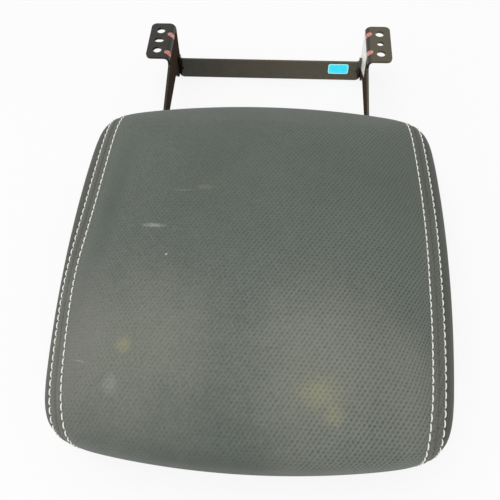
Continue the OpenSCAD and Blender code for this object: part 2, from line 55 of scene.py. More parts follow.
# Of these colours the dusty tone also carries painted light, the bend black and the brown are painted
# dark reflections, and the pale one is a painted glare.
ENAMEL_BLACK, ENAMEL_DUSTY_LIT, BEND_REFLECTION_BLACK = "#26231b", "#554e3e", "#0f0e0b"
MARKING_RED, MARKING_PALE, REFLECTION_BROWN, GLARE_PALE = "#ff9c8f", "#ffcfc4", "#463b31", "#eceee8"
# How wide the clouds of dust and the ripples of orange peel are, and the streaks
# of the marking brush, which are drawn coarser than they are so that they show
DUST_CLOUD, PEEL, BRUSH_STREAK, RAGGED, STROKE_FADE = 16.67*MM, 3.03*MM, 1.11*MM, 0.8*MM, 0.5*MM
# The dusty tone grows across the bracket from left to right, dust and painted light; near the inner face
# the bend is painted dark, a painted reflection.
DUST_AND_LIGHT_REACH, BEND_FROM, BEND_TO, BEND_FOOT, BEND_TOP = 90*MM, 2.5*MM, 5*MM, -14*MM, -9*MM
# The painted glare inside the right plate ends where z plus a share of y is low.
GLARE_SLOPE, GLARE_LOW, GLARE_FADE = 0.52, -46*MM, 3*MM


def colour(code):
    """The linear RGBA of an sRGB hex value."""
    parts = [int(code[i:i + 2], 16)/255 for i in (1, 3, 5)]
    return [c/12.92 if c <= 0.04045 else ((c + 0.055)/1.055)**2.4 for c in parts] + [1]


def add(tree, kind, inputs=(), **settings):
    """Adds a node. Its inputs take a value, or a node or socket to link from."""
    node = tree.nodes.new("ShaderNode" + kind)
    for name, value in settings.items():
        setattr(node, name, value)
    for name, value in dict(inputs).items():
        if isinstance(value, bpy.types.Node):
            value = value.outputs[0]
        if isinstance(value, bpy.types.NodeSocket):
            tree.links.new(value, node.inputs[name])
        else:
            node.inputs[name].default_value = value
    return node


def material(name):
    """An empty material and its node tree."""
    made = bpy.data.materials.new(name)
    made.use_nodes = True
    made.node_tree.nodes.clear()
    return made, made.node_tree


def coat(made, *nodes):
    """Gives CAD nodes a material in place of their plain one."""
    for node in nodes:
        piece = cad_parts[node]
        piece.data.materials.clear()
        piece.data.materials.append(made)


def enamel(name, lead=None, inside=None):
    """Stove enamel: half gloss, with a faint orange peel and a film of dust that,
    with painted light, grows paler from left to right.

    A side plate's has painted darts, which sit forward by a lead, in a bend that
    is painted dark as a painted reflection. Its inner face carries a pale painted
    glare, which also glows, as far forward as a place and down to a slanting line,
    and from there on a brown painted dark reflection.
    """
    made, tree = material(name)
    at = add(tree, "TexCoord").outputs["Object"]
    apart = add(tree, "SeparateXYZ", {0: at})
    dust = add(tree, "TexNoise", {"Vector": at, "Scale": 1/DUST_CLOUD, "Detail": 6, "Roughness": 0.65})
    # The dusty tone grows towards the right: dust, and painted light that makes the bracket paler on
    # that side.
    drift = add(tree, "Math", {0: dust, 1: 0.1, 2: apart.outputs[0]}, operation="MULTIPLY_ADD")
    dust_and_light = add(tree, "MapRange", {0: drift, 1: -DUST_AND_LIGHT_REACH, 2: DUST_AND_LIGHT_REACH, 3: 0, 4: 1})
    tone = add(tree, "Mix", {0: dust_and_light, 6: colour(ENAMEL_BLACK), 7: colour(ENAMEL_DUSTY_LIT)},
               data_type="RGBA").outputs[2]
    rough = add(tree, "MapRange", {0: dust, 1: 0.35, 2: 0.7, 3: 0.2, 4: 0.36})
    painted_glow = {}
    if lead is not None:
        along = add(tree, "Math", {0: apart.outputs[0]}, operation="ABSOLUTE")
        along = add(tree, "Math", {0: along, 1: EAR_BEND_X}, operation="SUBTRACT")
        down = add(tree, "Math", {0: apart.outputs[2], 1: DART_Z}, operation="SUBTRACT")
        # The bend is painted darker near the inner face: a painted dark reflection.
        bend_reflection = add(tree, "MapRange", {0: along, 1: BEND_FROM, 2: BEND_TO, 3: 0.85, 4: 0})
        high = add(tree, "MapRange", {0: down, 1: BEND_FOOT, 2: BEND_TOP, 3: 0, 4: 1})
        bend_reflection = add(tree, "Math", {0: bend_reflection, 1: high}, operation="MULTIPLY")
        tone = add(tree, "Mix", {0: bend_reflection, 6: tone, 7: colour(BEND_REFLECTION_BLACK)}, data_type="RGBA").outputs[2]
        # Distance from a dart's axis, which runs at 45 degrees across the bend.
        cross = add(tree, "Math", {0: along, 1: down}, operation="SUBTRACT")
        cross = add(tree, "Math", {0: cross, 1: math.sqrt(0.5)}, operation="MULTIPLY")
        side = add(tree, "Math", {0: apart.outputs[1], 1: lead}, operation="ADD")
        side = add(tree, "Math", {0: side}, operation="ABSOLUTE")
        side = add(tree, "Math", {0: side, 1: DART_SPACING/2}, operation="SUBTRACT")
        off = add(tree, "CombineXYZ", {0: side, 1: cross})
        off = add(tree, "VectorMath", {0: off}, operation="LENGTH").outputs["Value"]
        streaks = add(tree, "TexNoise", {"Vector": at, "Scale": 1/BRUSH_STREAK, "Detail": 3})
        edge = add(tree, "Math", {0: streaks, 1: RAGGED, 2: off}, operation="MULTIPLY_ADD")
        mark = add(tree, "MapRange", {0: edge, 1: STROKE_R, 2: STROKE_R + STROKE_FADE, 3: 1, 4: 0})
        thin = add(tree, "MapRange", {0: dust, 1: 0.35, 2: 0.65, 3: 0, 4: 1})
        paint = add(tree, "Mix", {0: thin, 6: colour(MARKING_RED), 7: colour(MARKING_PALE)},
                    data_type="RGBA").outputs[2]
        tone = add(tree, "Mix", {0: mark, 6: tone, 7: paint}, data_type="RGBA").outputs[2]
        rough = add(tree, "Mix", {0: mark, 2: rough, 3: 0.42})
        # The marking paint also glows a little: painted light that brightens it in the hollows.
        painted_glow_strength = add(tree, "Math", {0: mark, 1: 0.48}, operation="MULTIPLY")
        painted_glow = {"Emission Color": paint, "Emission Strength": painted_glow_strength}
    peel = add(tree, "TexNoise", {"Vector": at, "Scale": 1/PEEL, "Detail": 2})
    bump = add(tree, "Bump", {"Height": peel, "Strength": 0.12, "Distance": 0.4*MM})
    body = add(tree, "BsdfPrincipled", {"Base Color": tone, "Roughness": rough, "Normal": bump,
                                        "IOR": 1.5, "Specular IOR Level": 0.3} | painted_glow)
    if lead is not None:
        # The inner face's pale patch is a painted glare, which also glows.
        painted_glare = add(tree, "BsdfPrincipled", {
            "Base Color": colour(GLARE_PALE), "Roughness": 0.4, "IOR": 1.5, "Normal": bump,
            "Emission Color": colour(GLARE_PALE), "Emission Strength": 0.12})
        # Beyond the glare the inner face is painted brown without shine: a painted dark reflection.
        painted_dark_reflection = add(tree, "BsdfPrincipled", {"Base Color": colour(REFLECTION_BROWN), "Roughness": 0.8,
                                             "Normal": bump, "IOR": 1.5, "Specular IOR Level": 0})
        face = add(tree, "MapRange", {0: along, 1: -0.7*MM, 2: -0.3*MM, 3: 1, 4: 0})
        front = add(tree, "MapRange", {0: apart.outputs[1], 1: inside, 2: inside - 6*MM, 3: 0, 4: 1})
        low = add(tree, "Math", {0: apart.outputs[1], 1: GLARE_SLOPE, 2: apart.outputs[2]},
                  operation="MULTIPLY_ADD")
        low = add(tree, "MapRange", {0: low, 1: GLARE_LOW, 2: GLARE_LOW - GLARE_FADE, 3: 0, 4: 1})
        front = add(tree, "Math", {0: front, 1: low}, operation="MAXIMUM")
        inner = add(tree, "MixShader", {0: front, 1: painted_glare, 2: painted_dark_reflection})
        body = add(tree, "MixShader", {0: face, 1: body, 2: inner})
    add(tree, "OutputMaterial", {"Surface": body})
    return made


coat(enamel("gloss_black_stove_enamel"), "crossbar")
coat(enamel("gloss_black_stove_enamel_left", 5.5*MM, 40*MM), "side_plate_left")
coat(enamel("gloss_black_stove_enamel_right", -1.5*MM, -18*MM), "side_plate_right")

# ---------------------------------------------------------------------------
# Weld beads: two MAG fillet welds at the ends of the crossbar's flanges, with
# the ripples that the weld pool leaves, enamelled with the bracket.
WELD_X, WELD_Y, WELD_LOW, WELD_HIGH = 124.5*MM, 25*MM, -66*MM, -46*MM
WELD_LEG, RIPPLE, HARD_EDGE = 3*MM, 2.2*MM, math.radians(38)


def placed(name, data):
    """A new object of a mesh, lamp or camera, linked to the scene."""
    made = bpy.data.objects.new(name, data)
    bpy.context.scene.collection.objects.link(made)
    return made


def loft(name, parts, made, capped=True):
    """One mesh of closed tubes. A part is a list of rings of equally many points.

    Without caps, a part ends where it begins, so its first ring comes last too.
    """
    points, faces = [], []
    for rings in parts:
        rings = np.asarray(rings, float)
        first, (m, n) = len(points), rings.shape[:2]
        points += rings.reshape(-1, 3).tolist()
        for j in range(m - 1):
            for i in range(n):
                a, b = first + j*n + i, first + j*n + (i + 1) % n
                faces.append((a, b, b + n, a + n))
        if capped:
            faces.append(tuple(first + i for i in reversed(range(n))))
            faces.append(tuple(first + (m - 1)*n + i for i in range(n)))
    mesh = bpy.data.meshes.new(name)
    mesh.from_pydata(points, [], faces)
    return finished(name, mesh, made)


def finished(name, mesh, made):
    """An object of a mesh, its faces turned outwards and its hard edges kept hard."""
    work = bmesh.new()
    work.from_mesh(mesh)
    bmesh.ops.remove_doubles(work, verts=work.verts, dist=1e-6)
    bmesh.ops.recalc_face_normals(work, faces=work.faces)
    for face in work.faces:
        face.smooth = True
    for edge in work.edges:
        if len(edge.link_faces) == 2 and edge.calc_face_angle(0) > HARD_EDGE:
            edge.smooth = False
    work.to_mesh(mesh)
    work.free()
    mesh.materials.append(made)
    return placed(name, mesh)


beads = []
for side in (-1, 1):
    rings = []
    for z in np.arange(WELD_LOW, WELD_HIGH + 1e-6, RIPPLE/5):
        end = min(z - WELD_LOW, WELD_HIGH - z)/WELD_LEG
        swell = (0.86 + 0.14*abs(math.sin(math.pi*z/RIPPLE)))*min(1, 0.35 + end)**0.5
        ring = [(side*WELD_X, WELD_Y, z)]
        for a in np.linspace(0, math.pi/2, 9):
            ring.append((side*(WELD_X - WELD_LEG*swell*math.cos(a)),
                         WELD_Y + WELD_LEG*swell*math.sin(a), z))
        rings.append(ring)
    beads.append(rings)
weld = loft("weld_ripples", beads, bpy.data.materials["gloss_black_stove_enamel"])
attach(weld, "bracket")
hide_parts("weld_beads")

# ---------------------------------------------------------------------------
# Label: a small sheet of bright blue vinyl film with a paler die cut rim,
# stuck to the crossbar and left blank. It glows a little, painted light that brightens it.
LABEL_X, LABEL_Z, LABEL_W, LABEL_H = 93.5*MM, -52*MM, 27*MM, 16.5*MM
LABEL_CORNER, RIM, RIM_FADE = 3*MM, 1.3*MM, 0.3*MM
LABEL_BLUE, LABEL_RIM = "#30e4ff", "#a5f4f6"
made, tree = material("blue_vinyl_film_painted_glow")
apart = add(tree, "SeparateXYZ", {0: add(tree, "TexCoord").outputs["Object"]})
reach = []
for out, middle, half in ((0, LABEL_X, LABEL_W/2), (2, LABEL_Z, LABEL_H/2)):
    off = add(tree, "Math", {0: apart.outputs[out], 1: middle}, operation="SUBTRACT")
    off = add(tree, "Math", {0: off}, operation="ABSOLUTE")
    off = add(tree, "Math", {0: off, 1: half - LABEL_CORNER}, operation="SUBTRACT")
    reach.append(add(tree, "Math", {0: off, 1: 0}, operation="MAXIMUM"))
corner = add(tree, "VectorMath", {0: add(tree, "CombineXYZ", {0: reach[0], 1: reach[1]})},
             operation="LENGTH").outputs["Value"]
rim = add(tree, "MapRange", {0: corner, 1: LABEL_CORNER - RIM - RIM_FADE, 2: LABEL_CORNER - RIM,
                             3: 0, 4: 1})
tone = add(tree, "Mix", {0: rim, 6: colour(LABEL_BLUE), 7: colour(LABEL_RIM)}, data_type="RGBA")
# The film glows a little: painted light.
add(tree, "OutputMaterial", {"Surface": add(tree, "BsdfPrincipled", {
    "Base Color": tone.outputs[2], "Roughness": 0.38, "IOR": 1.5,
    "Emission Color": tone.outputs[2], "Emission Strength": 0.28})})
coat(made, "label")

# ---------------------------------------------------------------------------
# Pivot bolts and nuts, studs and their nuts: cold headed steel with rolled
# threads, bright zinc plated, which leaves a soft grey shine with a bluish cast.
# The plating's grain is drawn 0.7 mm wide, coarser than it is, so that it shows.
PIVOT_Y, PIVOT_Z, BOLT_R, BOLT_IN, BOLT_FACE = -110*MM, -43*MM, 5*MM, 110.3*MM, 127.5*MM
HEX_SHARE, HEAD_H, NUT_H, NUT_IN = 1.7, 6*MM, 6*MM, 112.3*MM
BOLT_PITCH, STUD_PITCH, NUT_PLAY = 1.5*MM, 1*MM, 0.1*MM
STUD_X, STUD_YS = 106.5*MM, (-185*MM, -232*MM, -279*MM)
STUD_TOP, STUD_L, STUD_R = -32*MM, 14*MM, 3*MM
ARM_NUT_TOP, ARM_NUT_H, ARM_NUT_R = -36*MM, 5*MM, 5.7*MM
ZINC_TONES, ZINC_BLOOM, ZINC_GRAIN = ("#8f9497", "#c3c6c2"), 5.56*MM, 0.67*MM


def two_toned(name, codes, size, detail, **settings):
    """A material whose two tones drift into each other in patches of a size."""
    made, tree = material(name)
    at = add(tree, "TexCoord").outputs["Object"]
    drift = add(tree, "TexNoise", {"Vector": at, "Scale": 1/size, "Detail": detail} | settings)
    tone = add(tree, "Mix", {0: drift, 6: colour(codes[0]), 7: colour(codes[1])}, data_type="RGBA")
    return made, tree, at, drift, tone.outputs[2]


zinc, tree, at, bloom, tone = two_toned("bright_zinc_plated_steel", ZINC_TONES, ZINC_BLOOM, 5)
rough = add(tree, "MapRange", {0: bloom, 1: 0.3, 2: 0.7, 3: 0.24, 4: 0.46})
grain = add(tree, "TexNoise", {"Vector": at, "Scale": 1/ZINC_GRAIN})
bump = add(tree, "Bump", {"Height": grain, "Strength": 0.1, "Distance": 0.1*MM})
add(tree, "OutputMaterial", {"Surface": add(tree, "BsdfPrincipled", {
    "Base Color": tone, "Metallic": 1, "Roughness": rough, "Normal": bump})})


def turned(rings, place, axis):
    """Rings drawn along +Z, moved to a place and turned to an axis."""
    turn = Vector((0, 0, 1)).rotation_difference(Vector(axis)).to_matrix()
    return np.asarray(rings) @ np.array(turn).T + np.array(place)


def circle(radius, z, n=48):
    angles = np.linspace(0, 2*math.pi, n, False)
    return [(radius*math.cos(a), radius*math.sin(a), z) for a in angles]


def hexagon(corner_r, z, limit, n=48):
    """A hexagon whose corners a cone has cut back to a limit."""
    ring = []
    for a in np.linspace(0, 2*math.pi, n, False):
        flat = corner_r*math.cos(math.pi/6)/math.cos(a % (math.pi/3) - math.pi/6)
        ring.append((min(flat, limit)*math.cos(a), min(flat, limit)*math.sin(a), z))
    return ring


def hex_body(corner_r, h):
    """A chamfered hexagon head."""
    chamfer = 0.12*corner_r
    return [hexagon(corner_r, 0, 0.95*corner_r), hexagon(corner_r, 0.4*chamfer, corner_r),
            hexagon(corner_r, h - chamfer, corner_r), hexagon(corner_r, h, 0.88*corner_r)]


def thread(radius, z0, z1, pitch):
    """The ridges of a thread, drawn as rings of rising and falling radius."""
    steps = max(2, round((z1 - z0)/pitch*2))
    return [circle(radius - (0.3*pitch if i % 2 else 0), z0 + (z1 - z0)*i/steps)
            for i in range(steps + 1)]


bolts, nuts, studs, stud_nuts = [], [], [], []
for side in (-1, 1):
    axis, at_hinge = (side, 0, 0), (0, PIVOT_Y, PIVOT_Z)
    shank = [circle(BOLT_R - 0.8*MM, BOLT_IN)]
    shank += thread(BOLT_R, BOLT_IN + 0.6*MM, BOLT_IN + 7.5*MM, BOLT_PITCH)
    shank += [circle(BOLT_R, BOLT_IN + 8.2*MM), circle(BOLT_R, BOLT_FACE)]
    head, body = [[[(x, y, z + foot) for x, y, z in ring] for ring in hex_body(HEX_SHARE*BOLT_R, h)]
                  for foot, h in ((BOLT_FACE, HEAD_H), (NUT_IN, NUT_H))]
    bolts.append(turned(shank + head, at_hinge, axis))
    bore = [circle(BOLT_R + NUT_PLAY, NUT_IN), circle(BOLT_R + NUT_PLAY, NUT_IN + NUT_H)]
    nuts.append(turned(bore[:1] + body + bore[::-1], at_hinge, axis))
    for y in STUD_YS:
        stud = [circle(STUD_R - 0.5*MM, 0)] + thread(STUD_R, 0.4*MM, 9*MM, STUD_PITCH)
        stud.append(circle(STUD_R, STUD_L))
        studs.append(turned(stud, (side*STUD_X, y, STUD_TOP - STUD_L), (0, 0, 1)))
        bore = [circle(STUD_R + NUT_PLAY, 0), circle(STUD_R + NUT_PLAY, ARM_NUT_H)]
        stud_nuts.append(turned(bore[:1] + hex_body(ARM_NUT_R, ARM_NUT_H) + bore[::-1],
                                (side*STUD_X, y, ARM_NUT_TOP - ARM_NUT_H), (0, 0, 1)))
for name, parts, capped, body, node in (
        ("pivot_bolts_m10", bolts, True, "bracket", "pivot_bolts"),
        ("pivot_nuts_m10", nuts, False, "bracket", "pivot_nuts"),
        ("pan_studs_m6", studs, True, "seat", "pan_studs"),
        ("arm_nuts_m6", stud_nuts, False, "seat", "arm_nuts")):
    piece = loft(name, parts, zinc, capped)
    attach(piece, body)
    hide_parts(node)
coat(zinc, "pivot_washers", "stop_pins")

# ---------------------------------------------------------------------------
# Stop buffers: short sleeves cut from extruded EPDM hose, black and matt, on
# which the hinge arms come to rest. Talc leaves their skin finely pitted.
RUBBER_BLACK, RUBBER_PIT = "#1b1b1a", 1.43*MM
made, tree = material("epdm_rubber")
at = add(tree, "TexCoord").outputs["Object"]
pits = add(tree, "TexNoise", {"Vector": at, "Scale": 1/RUBBER_PIT, "Detail": 4})
add(tree, "OutputMaterial", {"Surface": add(tree, "BsdfPrincipled", {
    "Base Color": colour(RUBBER_BLACK), "Roughness": 0.8, "IOR": 1.52,
    "Normal": add(tree, "Bump", {"Height": pits, "Strength": 0.2, "Distance": 0.3*MM})})})
coat(made, "stop_buffers")

# ---------------------------------------------------------------------------
# Pivot bushes: injection moulded natural nylon, pressed into the arms. It is
# off white, faintly clouded and slightly waxy.
NYLON_TONES, NYLON_CLOUD = ("#cfcab9", "#e2dfd2"), 8.33*MM
made, tree, *_, tone = two_toned("natural_nylon", NYLON_TONES, NYLON_CLOUD, 3)
add(tree, "OutputMaterial", {"Surface": add(tree, "BsdfPrincipled", {
    "Base Color": tone, "Roughness": 0.36, "IOR": 1.53})})
coat(made, "pivot_bushes")

# ---------------------------------------------------------------------------
# Hinge arms and the tube between them: bent steel sheet and welded square tube
# in satin black electrocoat, thinner and less glossy than the bracket's enamel.
# The pan above them is pressed steel in a dull dip coat.
COAT_CLOUD, COAT_PEEL = 25*MM, 2*MM
for name, codes, low, high, nodes in (
        ("satin_black_electrocoat", ("#181715", "#24221f"), 0.34, 0.5,
         ("hinge_arm_left", "hinge_arm_right", "arm_tube")),
        ("dull_dip_coat", ("#2c2c2a", "#3b3a37"), 0.5, 0.68, ("seat_pan",))):
    made, tree, at, cloud, tone = two_toned(name, codes, COAT_CLOUD, 6)
    rough = add(tree, "MapRange", {0: cloud, 1: 0.3, 2: 0.7, 3: low, 4: high})
    peel = add(tree, "TexNoise", {"Vector": at, "Scale": 1/COAT_PEEL})
    peel = add(tree, "Bump", {"Height": peel, "Strength": 0.12, "Distance": 0.3*MM})
    add(tree, "OutputMaterial", {"Surface": add(tree, "BsdfPrincipled", {
        "Base Color": tone, "Roughness": rough, "IOR": 1.5, "Normal": peel})})
    coat(made, *nodes)

# ---------------------------------------------------------------------------
# Base cover and hem strip: a tray injection moulded in black polypropylene and,
# inside it, an extruded grey PVC strip that grips the cover's hem.
TRAY_TONES, TRAY_CLOUD, TRAY_GRAIN = ("#1b1b1b", "#262625"), 33.3*MM, 1.11*MM
STRIP_TONES, STRIP_CLOUD = ("#333331", "#454542"), 11.1*MM
# The spark eroded tool leaves the tray matt. Its grain is drawn 1.1 mm wide,
# coarser than it is, so that it shows.
made, tree, at, cloud, tone = two_toned("grained_black_polypropylene", TRAY_TONES, TRAY_CLOUD, 5)
grain = add(tree, "TexVoronoi", {"Vector": at, "Scale": 1/TRAY_GRAIN}, feature="SMOOTH_F1")
rough = add(tree, "MapRange", {0: cloud, 1: 0.3, 2: 0.7, 3: 0.5, 4: 0.64})
add(tree, "OutputMaterial", {"Surface": add(tree, "BsdfPrincipled", {
    "Base Color": tone, "Roughness": rough, "IOR": 1.49,
    "Normal": add(tree, "Bump", {"Height": grain, "Strength": 0.35, "Distance": 0.25*MM})})})
coat(made, "base_cover")

# The die leaves the strip smooth and dull.
made, tree, *_, tone = two_toned("extruded_grey_pvc", STRIP_TONES, STRIP_CLOUD, 4)
add(tree, "OutputMaterial", {"Surface": add(tree, "BsdfPrincipled", {
    "Base Color": tone, "Roughness": 0.44, "IOR": 1.53})})
coat(made, "hem_strip")

# ---------------------------------------------------------------------------
# Seat foam: one block of moulded polyurethane, poured in a tool, crowned on
# top and hollow below, where it sits over the pan. Its skin is open and yellow.
HALF_W, HALF_L, CUSHION_Y, WIDEST_Z = 194*MM, 210*MM, -328*MM, -14*MM
TAPER, SIDE_BOW, REAR_BOW, FRONT_BOW = 6*MM, 11*MM, 24*MM, 20*MM
CROWN_H, UNDER_H, PLAN_POWER, CROWN_POWER = 55*MM, 79*MM, 14, 2.5
HEM_Z, REAR_HEM_Z = -57*MM, -28*MM
RISE_FROM, RISE_OVER, CORNER_SHARE, CORNER_LAG, CORNER_SPAN = 0.72, 0.2, 0.05, 0.5, 0.1
# Where the seams run, as shares of the half width: the left one with a slight
# belly, the right one drawn in at the rear and stepping out towards the front.
LEFT_SEAM, LEFT_BELLY, BELLY_AT, BELLY_SPAN = 0.882, 0.042, 0.6, 0.2
RIGHT_SEAM, RIGHT_WAIST, WAIST_AT, RIGHT_STEP, STEP_AT, RIGHT_SPAN = 0.897, 0.01, 0.15, 0.006, 0.55, 0.15


def place(s, depth=0):
    """The cushion's surface, from shares of its half sizes."""
    bow = np.where(s[..., 1] > 0, REAR_BOW, FRONT_BOW)
    rise = np.where(s[..., 2] > 0, CROWN_H, UNDER_H)
    return np.stack([
        s[..., 0]*(HALF_W + TAPER*s[..., 1] - SIDE_BOW*s[..., 1]**2 - depth),
        CUSHION_Y + s[..., 1]*(HALF_L - depth) - bow*s[..., 1]*s[..., 0]**2,
        WIDEST_Z + s[..., 2]*(rise - depth)], -1)


def width_share(y, z):
    inside = (1 - np.abs(z)**CROWN_POWER)**(PLAN_POWER/CROWN_POWER) - np.abs(y)**PLAN_POWER
    return np.maximum(inside, 0)**(1/PLAN_POWER)


def reach_of(x, a):
    """Distance to the surface in the slice at width share x, along the angle a."""
    low, high = np.zeros(np.shape(a)), np.full(np.shape(a), 1.6)
    for _ in range(30):
        m = (low + high)/2
        y, z = m*np.sin(a), m*np.cos(a)
        flat = (np.abs(x)**PLAN_POWER + np.abs(y)**PLAN_POWER)**(CROWN_POWER/PLAN_POWER)
        inside = flat + np.abs(z)**CROWN_POWER < 1
        low, high = np.where(inside, m, low), np.where(inside, high, m)
    return low


def hem_share(y):
    t = np.clip((y - RISE_FROM)/RISE_OVER, 0, 1)
    return (HEM_Z + (REAR_HEM_Z - HEM_Z)*t*t*(3 - 2*t) - WIDEST_Z)/UNDER_H


def line_point(x, t):
    """A lengthwise line at width share x, from 0, the rear hem, to 1, the front hem."""
    x, t = np.broadcast_arrays(np.asarray(x, float), np.asarray(t, float))
    rear = math.pi/2 + math.atan(-hem_share(1))
    front = -math.pi/2 - math.atan(-hem_share(-1))
    a = rear + (front - rear)*t
    low = np.abs(a) > math.pi/2
    z = np.where(low, -np.tan(np.abs(a) - math.pi/2), 0)
    w = width_share(0, z)
    below = np.stack([x*w, np.sign(a)*w*width_share(x, 0), z], -1)
    a = np.where(low, 0, a)
    r = reach_of(x, a)
    return np.where(low[..., None], below, np.stack([x, r*np.sin(a), r*np.cos(a)], -1))


def seam_share(side, t):
    """The width share at which a seam runs."""
    if side < 0:
        return LEFT_SEAM + LEFT_BELLY*np.exp(-((t - BELLY_AT)/BELLY_SPAN)**2)
    waist = RIGHT_WAIST*np.exp(-((t - WAIST_AT)/RIGHT_SPAN)**2)
    return RIGHT_SEAM - waist + RIGHT_STEP*np.clip((t - STEP_AT)/RIGHT_SPAN, 0, 1)


def side_point(side, t, k):
    """A side panel, from 0, the seam, to 1, the hem."""
    t, k = np.broadcast_arrays(np.asarray(t, float), np.asarray(k, float))
    s = line_point(seam_share(side, t), t)
    rear = line_point(seam_share(side, 0.0), 0)[1] - CORNER_SHARE
    front = line_point(seam_share(side, 1.0), 1)[1] + CORNER_SHARE
    hem_y = rear + (front - rear)*t*(1 - CORNER_LAG*np.exp(-(t/CORNER_SPAN)**2))
    y = s[..., 1] + (hem_y - s[..., 1])*k
    z = s[..., 2] + (hem_share(hem_y) - s[..., 2])*k
    z = np.where((t == 0) | (t == 1), hem_share(y), z)
    return np.where((k == 0)[..., None], s, np.stack([width_share(y, z), y, z], -1))


# The whole skin is one grid, fine along the seams: rows run across the seat,
# from the rear hem to the front one, and columns from hem to hem over the crown.
ROW_COUNT, NEAR_SEAM, FINE_REACH, CENTRE_COARSE, SIDE_COARSE = 250, 20, 14*MM, 34, 22


def lengths(line):
    """Distance along a line of points, from its start."""
    return np.concatenate([[0], np.cumsum(np.linalg.norm(np.diff(line, axis=0), axis=1))])


even = np.linspace(0, 1, 4000)
run = lengths(place(line_point(0.7, even)))
row_t = np.interp(np.linspace(0, run[-1], ROW_COUNT + 1), run, even)
# The columns beside a seam lie closest at the seam itself and round the stitch row.
near = np.cumsum([0, 0.35, 0.45, 0.55, 0.7, 0.9, 1, 1, 0.8, 0.65, 0.55, 0.5, 0.5, 0.55, 0.65,
                  0.8, 1, 1, 1, 1])*MM
columns, flanks = [], []
for side in (-1, 1):
    seam_x = seam_share(side, row_t)*HALF_W
    steps = np.linspace(0, 1, CENTRE_COARSE)
    half = np.concatenate([seam_x[:, None] - near, (seam_x - FINE_REACH)[:, None]*(1 - steps)], 1)
    columns.append(half/HALF_W)
    path = place(side_point(side, row_t[:, None], np.linspace(0, 1, 200)[None, :]))
    flank = []
    for line in path:
        run = lengths(line)
        at = np.concatenate([near, np.linspace(FINE_REACH, run[-1], SIDE_COARSE)])
        flank.append(np.stack([np.interp(at, run, line[:, i]) for i in range(3)], -1))
    flanks.append(np.array(flank)*[side, 1, 1])
shares = np.concatenate([-columns[0], columns[1][:, -2::-1]], 1)
centre = place(line_point(shares, row_t[:, None]))
skin = np.concatenate([flanks[0][:, :0:-1], centre, flanks[1][:, 1:]], 1)
SIDE_COLS = flanks[0].shape[1]
SEAMS = {-1: SIDE_COLS - 1, 1: SIDE_COLS - 2 + centre.shape[1]}


def normals_of(grid):
    across = np.gradient(grid, axis=1)
    along = np.gradient(grid, axis=0)
    n = np.cross(across, along)
    n /= np.maximum(np.linalg.norm(n, axis=-1, keepdims=True), 1e-12)
    # At the grid's corners its two edges run on into each other, so the rim
    # takes its neighbours' normals.
    n[0], n[-1] = n[1], n[-2]
    n[:, 0], n[:, -1] = n[:, 1], n[:, -2]
    return -n


def grid_faces(m, n, first=0):
    """A grid's faces, which look outwards."""
    a = (first + np.arange(m - 1)[:, None]*n + np.arange(n - 1)[None, :]).reshape(-1)
    return np.stack([a, a + n, a + n + 1, a + 1], -1).tolist()


def rim_of(m, n):
    """Indices round a grid's edge."""
    return ([i for i in range(n)] + [j*n + n - 1 for j in range(1, m)]
            + [(m - 1)*n + i for i in range(n - 2, -1, -1)] + [j*n for j in range(m - 2, 0, -1)])


def smoothed(field, times):
    for _ in range(times):
        wide = np.pad(field, 1, mode="edge")
        field = (wide[:-2, 1:-1] + wide[2:, 1:-1] + wide[1:-1, :-2] + wide[1:-1, 2:] + 4*field)/8
    return field


# The foam and its cover are blown up together as cloth over air, held at the
# hem and lightly along the seams, and their swelling is what crowns the panels.
SLACK, SWELL_CAP, VOXEL, PROBE, FRAMES = 6*MM, 12*MM, 6*MM, 30*MM, 20
SEAM_HOLD, HOLD_WIDE, SWELL_SHARE, SWELL_MOST, SWELL_EDGE = 0.35, 12*MM, 0.5, 3*MM, 70*MM


